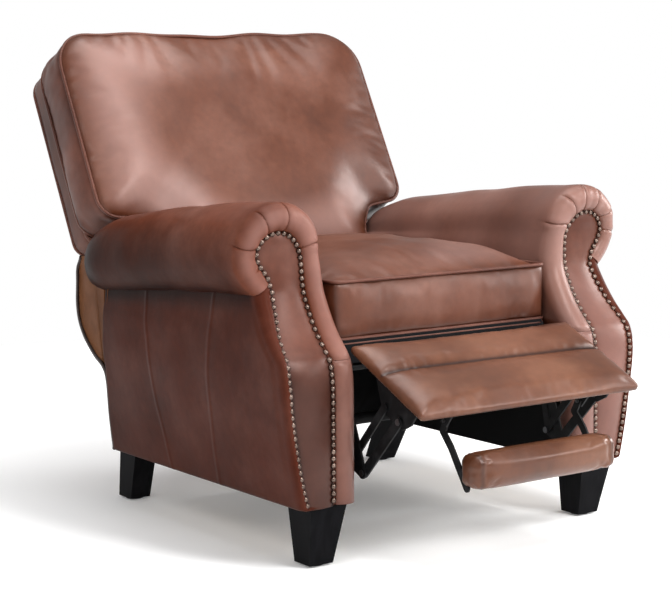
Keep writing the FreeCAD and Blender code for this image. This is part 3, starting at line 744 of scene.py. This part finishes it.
def arm_side(_side):
    """Outer side of either arm, from the neck under the roll to the hem."""
    t = np.linspace(0, 10, 120)
    z_edge = at(SIDE, t)[:, 3]
    y_end = np.interp(z_edge, [0.12, 0.30], [0.680, 0.652])
    grid = arm_sheet(SIDE, t, np.zeros(len(t)), y_end, np.linspace(0, 1, 240), SIDE_COLUMNS)
    painted_shadow_under_roll = smoothstep(grid[..., 2], 0.455, 0.51)
    # the top edge follows the roll's falling underside
    drop = np.interp(grid[..., 1], [0.1, 0.78], [0.0, 0.050])
    grid[..., 2] -= drop * smoothstep(grid[..., 2], 0.40, 0.51)
    hem = [grid[-1] + np.array([dx, 0, dz]) for dx, dz in HEM]
    grid = np.concatenate([grid, np.array(hem)])
    painted_shadow_under_roll = np.concatenate([painted_shadow_under_roll, np.zeros((len(HEM), grid.shape[1]))])
    y, z = grid[..., 1], grid[..., 2]
    ridge = np.zeros(y.shape)
    for top, foot in SIDE_SEAMS:
        line = foot + (top - foot) * (z - 0.15) / 0.3
        ridge += bell(y - line, 0.0048)
    inward = smoothstep(z, 0.13, 0.2) * (1 - smoothstep(z, 0.44, 0.5))
    soft = waves(world(grid), 0.22, 11) * 0.0014 * inward
    columns = np.arange(grid.shape[1])
    flat = smoothstep(columns, 13, 20)
    grid[..., 0] += (ridge * 0.0009 + soft) * flat
    # painted shadow under the roll, painted highlight on the seam ridges, painted shade in the groove by the
    # nails and on the hem turned under; darker towards the rear
    tone = 0.47 - 0.45 * painted_shadow_under_roll * flat + 0.05 * ridge * flat - 0.4 * bell(columns, 2.0)
    tone = tone - 0.1 * smoothstep(y, 0.5, 0.66) - 0.25 * (1 - smoothstep(z, 0.116, 0.128))
    return world(grid), tone


def nail_line(data, start, end, count):
    return at(data, np.linspace(start, end, count))[:, :2]


def front_panel(side):
    """Narrow leather face between the two rows of nails."""
    inner = nail_line(COVER, 0, 10, 400)
    outer = np.vstack([nail_line(COVER, 10, NECK_T, 300), nail_line(SIDE, SIDE_NECK_T, 10, 300)])
    outer = outer[np.argsort(outer[:, 1])]
    scroll = 0.56 + 0.0603 * np.sin(np.linspace(0, 1, 60)[1:] * math.pi / 2)
    z = np.concatenate([np.linspace(0.1185, 0.56, 130), scroll])
    x_in = np.interp(z, inner[:, 1], inner[:, 0])
    x_out = np.interp(z, outer[:, 1], outer[:, 0])
    u = np.linspace(-1, 1, 36)
    middle, half = (x_in + x_out) / 2, (x_out - x_in) / 2
    x = middle[:, None] + half[:, None] * u[None]
    crown = np.minimum(half / 0.04, 1)[:, None] * (1 - u[None] ** 2)
    y = front_y(z)[:, None] + 0.0022 - 0.0075 * crown
    grid = np.stack([x, y, np.broadcast_to(z[:, None], x.shape)], 2)
    grid[..., 1] += waves(world(grid), 0.09, 21) * 0.0009 * crown
    # painted shade in the scroll and low down, and along both edges in the grooves by the nails
    high, low = smoothstep(z, 0.46, 0.55)[:, None], 1 - smoothstep(z, 0.33, 0.44)[:, None]
    middling = ARM_PAINTED_LIGHT_TONE[side] - PANEL_PAINTED_SHADE[side][0] * high - PANEL_PAINTED_SHADE[side][1] * low
    tone = middling - 0.36 * bell(1 - np.abs(u), 0.14, 1.4)
    # rows from the top down, so that the faces look forwards
    return world(grid)[::-1], tone[::-1]


def nail_rows():
    """Places and leans of the nails, from the inner foot over the scroll to the outer foot."""
    upper, lower = nail_line(COVER, 0.06, NECK_T, 700), nail_line(SIDE, SIDE_NECK_T, 10, 300)
    line = evenly(np.vstack([upper, lower]), NAIL_PITCH)
    y = front_y(line[:, 1]) - 0.0034
    lean = (front_y(line[:, 1] + 0.004) - front_y(line[:, 1] - 0.004)) / 0.008
    return np.stack([line[:, 0], y, line[:, 1]], 1), lean


def nail_points(centre, out):
    """Crown and rings of one nailhead that points along out."""
    across = Vector((1, 0, 0))
    across = (across - out * across.dot(out)).normalized()
    out, across, other = np.array(out), np.array(across), np.array(out.cross(across))
    points = [centre + out * NAIL_SHAPE[0][1]]
    for radius, height in NAIL_SHAPE[1:]:
        for k in range(NAIL_SIDES):
            a = 2 * math.pi * k / NAIL_SIDES
            points.append(centre + out * height + radius * (math.cos(a) * across + math.sin(a) * other))
    return points


def nail_faces():
    """Faces of one nailhead: a fan round its crown, its rings and its flat back."""
    sides, rings = range(NAIL_SIDES), len(NAIL_SHAPE) - 1
    faces = [(0, 1 + k, 1 + (k + 1) % NAIL_SIDES) for k in sides]
    faces += [1 + quad for quad in grid_faces(rings, NAIL_SIDES, wrap=True)]
    faces.append([1 + (rings - 1) * NAIL_SIDES + k for k in sides])
    return faces


def nails(name, sign, material):
    """All nailheads of one arm front, each leaning a little its own way."""
    rng = np.random.default_rng(5)
    one = nail_faces()
    vertices, faces = [], []
    for place, lean in zip(*nail_rows()):
        out = Vector((0, -1, float(lean))).normalized()
        out = (out + Vector(rng.normal(0, 0.035, 3))).normalized()
        faces += [[len(vertices) + i for i in face] for face in one]
        vertices += nail_points(world(place), out)
    obj = new_object(name, on_side(np.array(vertices), sign), faces, material)
    face_outwards(obj)
    return obj


def side_x(z):
    """Outer side of the arm at heights z."""
    return lookup(sorted((row[3], row[2]) for row in SIDE), np.clip(z, 0.127, 0.519))


def tail_outline():
    front = [(0.640, 0.530), (0.640, 0.30), (0.668, 0.12)]
    return np.vstack([dense(TAIL, 8), front])


def arm_tail(side, sign):
    """Block of the arm behind the side panel, with eased edges and a narrower top."""
    outline = evenly(tail_outline(), 0.008, closed=True)
    away = outline - outline.mean(0)
    away /= np.linalg.norm(away, axis=1)[:, None]
    rings = []
    for share, shrink in ((0, 0.004), (0.012, 0.0012), (0.04, 0), (0.96, 0), (0.988, 0.0012), (1, 0.004)):
        y, z = (outline - away * shrink).T
        outer = side_x(z) - 0.0005
        inner = TAIL_INNER_X + TAIL_DRAW * smoothstep(z, 0.39, 0.45)
        rings.append(np.stack([inner + (outer - inner) * share, y, z], 1))
    return capped(side + "_arm_tail", on_side(world(np.array(rings)), sign), TAIL_LEATHER)


def tail_edge(side, sign):
    """Dark edging strip round the rear corner of the tail."""
    rear = evenly(dense(TAIL, 8), 0.006)
    along = np.gradient(rear, axis=0)
    along /= np.linalg.norm(along, axis=1)[:, None]
    inward = np.stack([-along[:, 1], along[:, 0]], 1)
    inward *= np.sign(inward @ np.array([-1.0, 0.2]))[:, None]
    rows = []
    for back, drop in ((0.010, -0.0008), (0.009, 0.0013), (0.004, 0.0015), (0.0, 0.0005), (-0.0012, -0.002),
                       (-0.0012, -0.012), (-0.0008, -0.016), (0.001, -0.0165)):
        spot = rear + inward * back
        rows.append(np.stack([side_x(rear[:, 1]) + drop, spot[:, 0], spot[:, 1]], 1))
    return grid_object(side + "_tail_edging", on_side(world(np.array(rows)), sign), EDGE, 0.5, 0.0012)


def build_arm(side):
    sign = 1 if side == "left" else -1
    cover_hide = PALE if side == "left" else ROLL_LEATHER
    sheets = (("arm_cover", arm_cover, ("arm_roll", "arm_front_pad", "arm_inside_panel"), 0.003, cover_hide),
              ("arm_foot_cover", arm_foot, (), 0.003, BROWN),
              ("arm_side_cover", arm_side, ("arm_side_panel",), 0.003, SHADED_SIDE_LEATHER),
              ("arm_front_face", front_panel, ("arm_front_panel",), 0.002, BROWN))
    for name, make, replaced, thick, hide in sheets:
        grid, tone = make(side)
        if sign < 0:
            # mirroring turns the faces inside out, and reversing the rows turns them back
            grid, tone = on_side(grid, sign)[::-1], tone[::-1]
        obj = grid_object(side + "_" + name, grid, hide, tone, thick)
        finish_piece(obj, "base", [side + "_" + n for n in replaced])
    studs = nails(side + "_nailheads", sign, BRONZE)
    finish_piece(studs, "base", [side + "_arm_nails"])
    tail = arm_tail(side, sign)
    finish_piece(tail, "base", [side + "_arm_rear_panel"])
    finish_piece(tail_edge(side, sign), "base")


# ---- back ---------------------------------------------------------------------------------------
class LocalFrame:
    """Axes of a part: x across, one along its face and one away from the face."""

    def __init__(self, origin, along, away):
        self.origin, self.along, self.away = np.array(origin), np.array(along), np.array(away)

    def place(self, points, depth):
        """Points (across, along) at a depth, in the frame's axes."""
        points = np.asarray(points, float)
        depth = np.asarray(depth, float).reshape(-1, 1)
        return self.origin + points[:, :1] * X_AXIS + points[:, 1:2] * self.along + depth * self.away

    def local(self, co):
        d = co - self.origin
        return np.stack([d @ X_AXIS, d @ self.along, d @ self.away], 1)


TILT = math.radians(28)
BACK = LocalFrame((0, 0.6345 + Y_SHIFT, 0.470), (0, math.sin(TILT), math.cos(TILT)),
                  (0, math.cos(TILT), -math.sin(TILT)))


def back_outline(grow=0.0):
    return symmetric_outline([(0.262 + grow, 0.0, 0.02), (0.264 + grow, 0.10, 0.10),
                              (0.296 + grow, 0.152 - grow, 0.03), (0.398 + grow, 0.165 - grow, 0.045),
                              (0.398 + grow, 0.601 + grow, 0.085)])


def outline_distance(xh, outline):
    """Smoothed distance of (x, h) points inside an outline from its edge, without ridges."""
    step = np.linalg.norm(np.roll(outline, -1, 0) - outline, axis=1)
    total = np.zeros(len(xh))
    for start in range(0, len(outline), 40):
        part = slice(start, start + 40)
        away = np.linalg.norm(xh[:, None] - outline[None, part], axis=2)
        total += (step[None, part] / np.maximum(away, 0.0008) ** 3).sum(1)
    return np.sqrt(2 / total)


def top_dip(local):
    """How far the top edge of the cushion sags between its corners."""
    sag = 0.005 * bell(local[:, 0] + 0.02, 0.07) + 0.0015 * np.sin(local[:, 0] * 38)
    return sag * smoothstep(local[:, 1], 0.35, 0.6)


def back_tone(local, outline, away):
    """Painted light on the back cushion: painted highlight, partly wear, along its sides and foot; painted
    shade at the left, in a patch at the middle and in the seams; the border darker towards the bottom.
    """
    edge = outline_distance(local[:, :2], outline)
    x, h = local[:, 0] + 0.02 * waves(local, 0.3, 35), local[:, 1] + 0.02 * waves(local, 0.25, 36)
    worn_and_painted_highlight = bell(edge - 0.075, 0.05) * (smoothstep(-x, 0.08, 0.26) + 0.8 * (1 - smoothstep(h, 0.12, 0.26)))
    dark = 0.9 * smoothstep(x, 0.12, 0.36) + 0.5 * np.exp(-(x / 0.16) ** 2 - ((h - 0.42) / 0.09) ** 2)
    border = smoothstep(local[:, 2], 0.01, 0.03) * (0.02 + 0.24 * (1 - smoothstep(h, 0.17, 0.36)))
    return 0.46 + 0.4 * np.clip(worn_and_painted_highlight, 0, 1) - 0.12 * dark - 0.36 * bell(away, 0.009, 1.2) - border


def build_back_cushion():
    outline = back_outline(0.0015)
    obj = prism("back_cushion_cover", outline, np.linspace(0.001, 0.106, 3), BACK.place, PALE)
    remesh(obj, 0.006)
    local = BACK.local(coordinates(obj))
    edge = outline_distance(local[:, :2], outline)
    front = 1 - smoothstep(local[:, 2], 0.0, 0.02)
    crown = 0.020 * (1 - np.exp(-edge / 0.018)) + 0.029 * (1 - np.exp(-edge / 0.11))
    local[:, 2] -= front * crown
    local[:, 1] -= top_dip(local)
    set_coordinates(obj, BACK.place(local[:, :2], local[:, 2]))
    seams = [BACK.place(closed_loop(outline), d) for d in (0.003, 0.104)]
    inflate(obj, seams, 0.014)
    relax(obj, 5)
    undulate(obj, 0.0022, 0.15, 33)
    away = gather(obj, seams, 0.0007, 0.034, 0.035, 31)
    shade(obj, back_tone(BACK.local(coordinates(obj)), outline, away))
    # the border round the sides is a paler hide than the face
    obj.data.materials.append(BORDER_LEATHER)
    depths = BACK.local(read_vectors(obj.data.polygons, "center"))[:, 2]
    obj.data.polygons.foreach_set("material_index", (depths > 0.003).astype(np.int32))
    finish_piece(obj, "back", ["back_cushion"])
    rim = back_outline(-0.0005)
    rim[:, 1] -= 1.35 * top_dip(rim)
    for name, depth in (("back_front_welt", 0.0005), ("back_rear_welt", 0.104)):
        welt(name, BACK.place(rim, depth), WELT_RADIUS, "back")


def outer_back_outline(grow):
    side, low, high = 0.385 + grow, 0.143 - grow, 0.585 + grow
    return symmetric_outline([(side, low, 0.03), (side, high, 0.05)])


def build_outer_back():
    near, far = 0.1075, 0.174
    outline = outer_back_outline(0.0015)
    obj = prism("outer_back_cover", outline, [near, (near + far) / 2, far], BACK.place, BROWN)
    remesh(obj, 0.008)
    relax(obj, 3)
    local = BACK.local(coordinates(obj))
    edge = outline_distance(local[:, :2], outline)
    rear = smoothstep(local[:, 2], far - 0.03, far - 0.004)
    local[:, 2] += rear * 0.006 * (1 - np.exp(-edge / 0.06))
    uneven = 0.0008 * normals(obj) * waves(coordinates(obj), 0.11, 41)[:, None]
    set_coordinates(obj, BACK.place(local[:, :2], local[:, 2]) + uneven)
    # painted shade along the edge of the rear face, by its welt
    shade(obj, 0.5 - 0.25 * bell(edge, 0.012) * rear)
    finish_piece(obj, "back", ["outer_back"])
    rim = outer_back_outline(-0.001)
    for name, depth in (("outer_back_front_welt", near + 0.002), ("outer_back_rear_welt", far - 0.002)):
        welt(name, BACK.place(rim, depth), WELT_RADIUS, "back", 0.008)


def build_lower_back():
    outline = symmetric_outline([(0.257, -0.118, 0.012), (0.257, 0.150, 0.012)])
    panel = prism("lower_back_cover", outline, [0.1535, 0.164, 0.1745], BACK.place, BROWN)
    remesh(panel, 0.007)
    relax(panel, 2)
    finish_piece(panel, "back", ["lower_back_panel"])
    shade(panel, 0.45)


# ---- seat ---------------------------------------------------------------------------------------
SEAT = LocalFrame((0, Y_SHIFT, 0), (0, 1, 0), (0, 0, 1))


def build_seat():
    half, y0, y1, z0, z1 = 0.262, 0.051, 0.598, 0.413, 0.520
    outline = symmetric_outline([(half, y0, 0.012), (half, y1, 0.02)])
    obj = prism("seat_cushion_cover", outline, np.linspace(z0, z1, 3), SEAT.place, PALE)
    remesh(obj, 0.006)
    co = coordinates(obj)
    x, y, z = co[:, 0], co[:, 1] - Y_SHIFT, co[:, 2]
    edge = outline_distance(np.stack([x, y], 1), outline)
    top = smoothstep(z, z1 - 0.012, z1)
    crown = 0.040 * np.sqrt(np.clip(1 - (x / 0.268) ** 2, 0, 1)) * smoothstep(y, 0.035, 0.2)
    crown = crown * (1 - 0.35 * smoothstep(y, 0.42, 0.6))
    co[:, 2] += top * np.minimum(crown, 0.9 * edge + 0.001)
    set_coordinates(obj, co)
    seams = [SEAT.place(closed_loop(outline), z) for z in (z0, z1)]
    for x in (half - 0.003, 0.003 - half):
        seams.append(SEAT.place([(x, y0 + 0.003), (x, y0 + 0.003)], (z0, z1)))
    inflate(obj, seams, 0.012)
    relax(obj, 5)
    undulate(obj, 0.0018, 0.13, 53)
    away = gather(obj, seams, 0.0008, 0.030, 0.03, 51)
    co = coordinates(obj)
    # painted highlight, partly wear, on the top towards +x; painted shade in the seams
    worn_and_painted_highlight = smoothstep(co[:, 2], z1, z1 + 0.03)
    worn_and_painted_highlight = worn_and_painted_highlight * smoothstep(co[:, 0] + 0.1 * waves(co, 0.3, 55), -0.02, 0.2)
    shade(obj, 0.5 + 0.22 * worn_and_painted_highlight - 0.38 * bell(away, 0.008, 1.2))
    finish_piece(obj, "seat", ["seat_cushion"])
    rim = symmetric_outline([(half - 0.002, y0 + 0.001, 0.014), (half - 0.002, y1, 0.02)])
    for name, height in (("seat_top_welt", z1 + 0.001), ("seat_bottom_welt", z0 - 0.001),
                         ("seat_edge_welt", z0 - 0.0095)):
        welt(name, SEAT.place(rim, height), SEAT_WELT_RADIUS, "seat")


def lining(name, corner, across, down, body):
    """Stapled black cloth, slightly slack, on the rectangle spanned from a corner."""
    corner, across, down = (np.array(v, float) for v in (corner, across, down))
    u, v = np.meshgrid(np.linspace(0, 1, 50), np.linspace(0, 1, 30))
    grid = corner + u[..., None] * across + v[..., None] * down
    out = np.cross(across, down)
    out /= np.linalg.norm(out)
    held = np.sin(u * math.pi)
    slack = 0.004 * held * np.sin(v * math.pi) + 0.0012 * waves(grid, 0.07, 81) * held
    obj = grid_object(name, grid + out * slack[..., None], CLOTH, 0.5, 0.0008)
    finish_piece(obj, body)


def build_linings():
    """Cloth over the rear of the footrest's well, and the dust cover under the seat springs."""
    lining("rear_well_lining", (-0.268, 0.1925, 0.124), (0.536, 0, 0), (0, 0, 0.208), "base")
    lining("seat_dust_cover", (-0.222, -0.318, 0.3722), (0, 0.502, 0), (0.444, 0, 0), "seat")


# ---- footrest -----------------------------------------------------------------------------------
SLOPE = math.radians(25)
PAD = LocalFrame((0, -0.017 + Y_SHIFT, 0.407), (0, -math.cos(SLOPE), -math.sin(SLOPE)),
                 (0, -math.sin(SLOPE), math.cos(SLOPE)))


def build_footrest():
    half, rear, front, foot, crease_at = 0.267, -0.014, 0.225, -0.0175, 0.092
    outline = symmetric_outline([(half, rear, 0.006), (half, front, 0.004)])
    obj = prism("footrest_cover", outline, [foot, -0.009, -0.004], PAD.place, FOOT_LEATHER)
    remesh(obj, 0.0045)
    local = PAD.local(coordinates(obj))
    edge = outline_distance(local[:, :2], outline)
    top = smoothstep(local[:, 2], -0.011, -0.005)
    crown = 0.013 * (1 - np.exp(-edge / 0.02))
    gap = local[:, 1] - (crease_at + 0.002 * np.sin(local[:, 0] * 9))
    crease = bell(gap, 0.006, 1.3) * smoothstep(half - np.abs(local[:, 0]), -0.01, 0.03)
    lip = bell(gap + 0.014, 0.009) + 0.6 * bell(gap - 0.016, 0.011)
    local[:, 2] += top * (crown - 0.0085 * crease + 0.002 * lip)
    set_coordinates(obj, PAD.place(local[:, :2], local[:, 2]))
    line = np.stack([np.linspace(-half, half, 60), np.full(60, crease_at)], 1)
    seams = [PAD.place(closed_loop(outline), foot), PAD.place(line, 0.001)]
    inflate(obj, seams, 0.005, pressure=2.5, shrink=-0.008)
    relax(obj, 5)
    away = gather(obj, seams, 0.0007, 0.026, 0.02, 61)
    # painted shade in the crease across the pad and along the seams
    shade(obj, 0.53 - 0.4 * (bell(gap, 0.004, 1.3) * top) - 0.25 * bell(away, 0.006))
    finish_piece(obj, "footrest", ["footrest_pad"])


def build_bolster():
    half, cap, (y0, y1), (z0, z1) = 0.158, 0.014, (-0.2575, -0.2005), (0.1635, 0.2285)
    outline = rounded_outline([(y1, z0, 0.015), (y1, z1, 0.017), (y0, z1, 0.019), (y0, z0, 0.016)], 0.004)
    centre = outline.mean(0)

    def place(points, x):
        shrink = 1 - 0.6 * max(0.0, (abs(x) - half) / cap) ** 2
        ring = centre + (points - centre) * shrink
        return np.stack([np.full(len(points), x), ring[:, 0] + Y_SHIFT, ring[:, 1]], 1)

    ends = np.array([half + cap, half + 0.011, half + 0.006])
    stations = np.concatenate([-ends, np.linspace(-half, half, 5), ends[::-1]])
    obj = prism("flip_bolster_cover", outline, stations, place, FOOT_LEATHER)
    remesh(obj, 0.0036)
    seams = [place(closed_loop(outline), x) for x in (-half, half)]
    inflate(obj, seams, 0.004, pressure=3.0, hold=0.004)
    relax(obj, 1)
    away = gather(obj, seams, 0.0009, 0.022, 0.025, 71)
    push_out(obj, -0.0018 * bell(away, 0.0035))
    # painted shade along the seams round the end caps
    shade(obj, 0.41 - 0.3 * bell(away, 0.005))
    finish_piece(obj, "flip_rest", ["flip_bolster"])


# ---- carried CAD nodes --------------------------------------------------------------------------
CARRIED = {"black_wood": BLACK_WOOD, "frame_wood": FRAME_WOOD, "nail_brass": BRONZE,
           "black_steel": BLACK_STEEL, "bright_steel": BRIGHT_STEEL, "black_cloth": CLOTH,
           "webbing": WEBBING, "nylon": NYLON, "brown_leather": BROWN, "tan_leather": TAN}


def paint_frame():
    for row in frame["record"]["subparts"]:
        mesh = frame["nodes"][row["node"]].data
        mesh.materials.clear()
        mesh.materials.append(CARRIED[row["material_slot"]])


def soften_legs():
    for node in ("left_front_leg", "right_front_leg", "left_rear_leg", "right_rear_leg"):
        edge = frame["nodes"][node].modifiers.new("Eased edges", "BEVEL")
        edge.width = 0.002
        edge.segments = 3
        edge.limit_method = "ANGLE"


# ---- studio -------------------------------------------------------------------------------------
FLOOR_RADIUS = 2.6


def build_floor():
    """Pale disc, which glows a little towards its rim so that it meets the white horizon evenly."""
    material, tree, shader, place = new_material("studio_floor")
    soft = scaled_noise(tree, place, 0.6, 2.0)
    away = add(tree, "ShaderNodeVectorMath", operation="LENGTH")
    tree.links.new(place, away.inputs[0])
    share = add(tree, "ShaderNodeMath", operation="DIVIDE")
    tree.links.new(away.outputs["Value"], share.inputs[0])
    share.inputs[1].default_value = FLOOR_RADIUS
    glow = [(0.0, grey(0.12)), (0.35, grey(0.16)), (1.0, grey(0.5))]
    feed(tree, shader, {"Base Color": ramp(tree, soft, [(0.3, grey(0.94)), (0.7, grey(0.96))]),
                        "Emission Color": ramp(tree, share.outputs["Value"], glow)})
    shader.inputs["Emission Strength"].default_value = 1.0
    shader.inputs["Roughness"].default_value = 0.9
    shader.inputs["Specular IOR Level"].default_value = 0.1
    turns = np.linspace(0, 2 * math.pi, 96, endpoint=False)
    rim = [(FLOOR_RADIUS * math.cos(a), FLOOR_RADIUS * math.sin(a), 0) for a in turns]
    new_object("studio_floor", rim, [range(96)], material)


def area_light(name, place, target, size, power):
    data = bpy.data.lights.new(name, "AREA")
    data.shape = "RECTANGLE"
    data.size, data.size_y = size
    data.energy = power
    obj = bpy.data.objects.new(name, data)
    obj.location = place
    obj.rotation_mode = "QUATERNION"
    obj.rotation_quaternion = (Vector(target) - Vector(place)).to_track_quat("-Z", "Y")
    bpy.context.scene.collection.objects.link(obj)


def build_world():
    """White round the horizon, where the floor ends, and dimmer overhead."""
    world_data = bpy.data.worlds.new("studio")
    world_data.use_nodes = True
    tree = world_data.node_tree
    place = add(tree, "ShaderNodeTexCoord").outputs["Generated"]
    height = add(tree, "ShaderNodeSeparateXYZ", {"Vector": place}).outputs["Z"]
    sky = ramp(tree, height, [(0.0, grey(1)), (0.08, grey(1)), (0.3, grey(0.3))])
    tree.links.new(sky, tree.nodes["Background"].inputs["Color"])
    tree.nodes["Background"].inputs["Strength"].default_value = 1.0
    bpy.context.scene.world = world_data


def build_lights():
    area_light("key", (0.35, -2.7, 2.7), (0, 0, 0.6), (0.7, 2.0), 110)
    area_light("front", (2.0, -3.0, 1.3), (0, 0, 0.5), (1.0, 0.8), 30)
    area_light("right", (3.3, -1.0, 1.4), (0, 0, 0.5), (0.7, 1.4), 80)
    area_light("left", (-2.6, -1.6, 2.6), (0.3, 0, 0.5), (1.0, 1.0), 25)
    area_light("top", (0.2, 0.1, 3.6), (0, 0, 0.4), (2.6, 2.6), 95)
    bpy.context.scene.view_settings.view_transform = "Standard"


def build_camera():
    azimuth, pitch, roll = (math.radians(a) for a in (-35.116, 6.977, -0.577))
    level = math.cos(pitch)
    back = Vector((math.sin(azimuth) * level, -math.cos(azimuth) * level, math.sin(pitch)))
    right = (-back).cross(Vector((0, 0, 1))).normalized()
    up = right.cross(-back)
    turned_right = math.cos(roll) * right + math.sin(roll) * up
    turned_up = -math.sin(roll) * right + math.cos(roll) * up
    data = bpy.data.cameras.new("camera")
    data.lens, data.sensor_width = 99.32, 36.0
    data.clip_start, data.clip_end = 0.05, 100
    camera = bpy.data.objects.new("camera", data)
    turn = Matrix((turned_right, turned_up, back)).transposed().to_4x4()
    camera.matrix_world = Matrix.Translation((-2.2398, -2.7653 + Y_SHIFT, 0.9109)) @ turn
    bpy.context.scene.collection.objects.link(camera)
    bpy.context.scene.camera = camera


paint_frame()
soften_legs()
for arm in ("left", "right"):
    build_arm(arm)
build_back_cushion()
build_outer_back()
build_lower_back()
build_seat()
build_linings()
build_footrest()
build_bolster()
build_floor()
build_world()
build_lights()
build_camera()
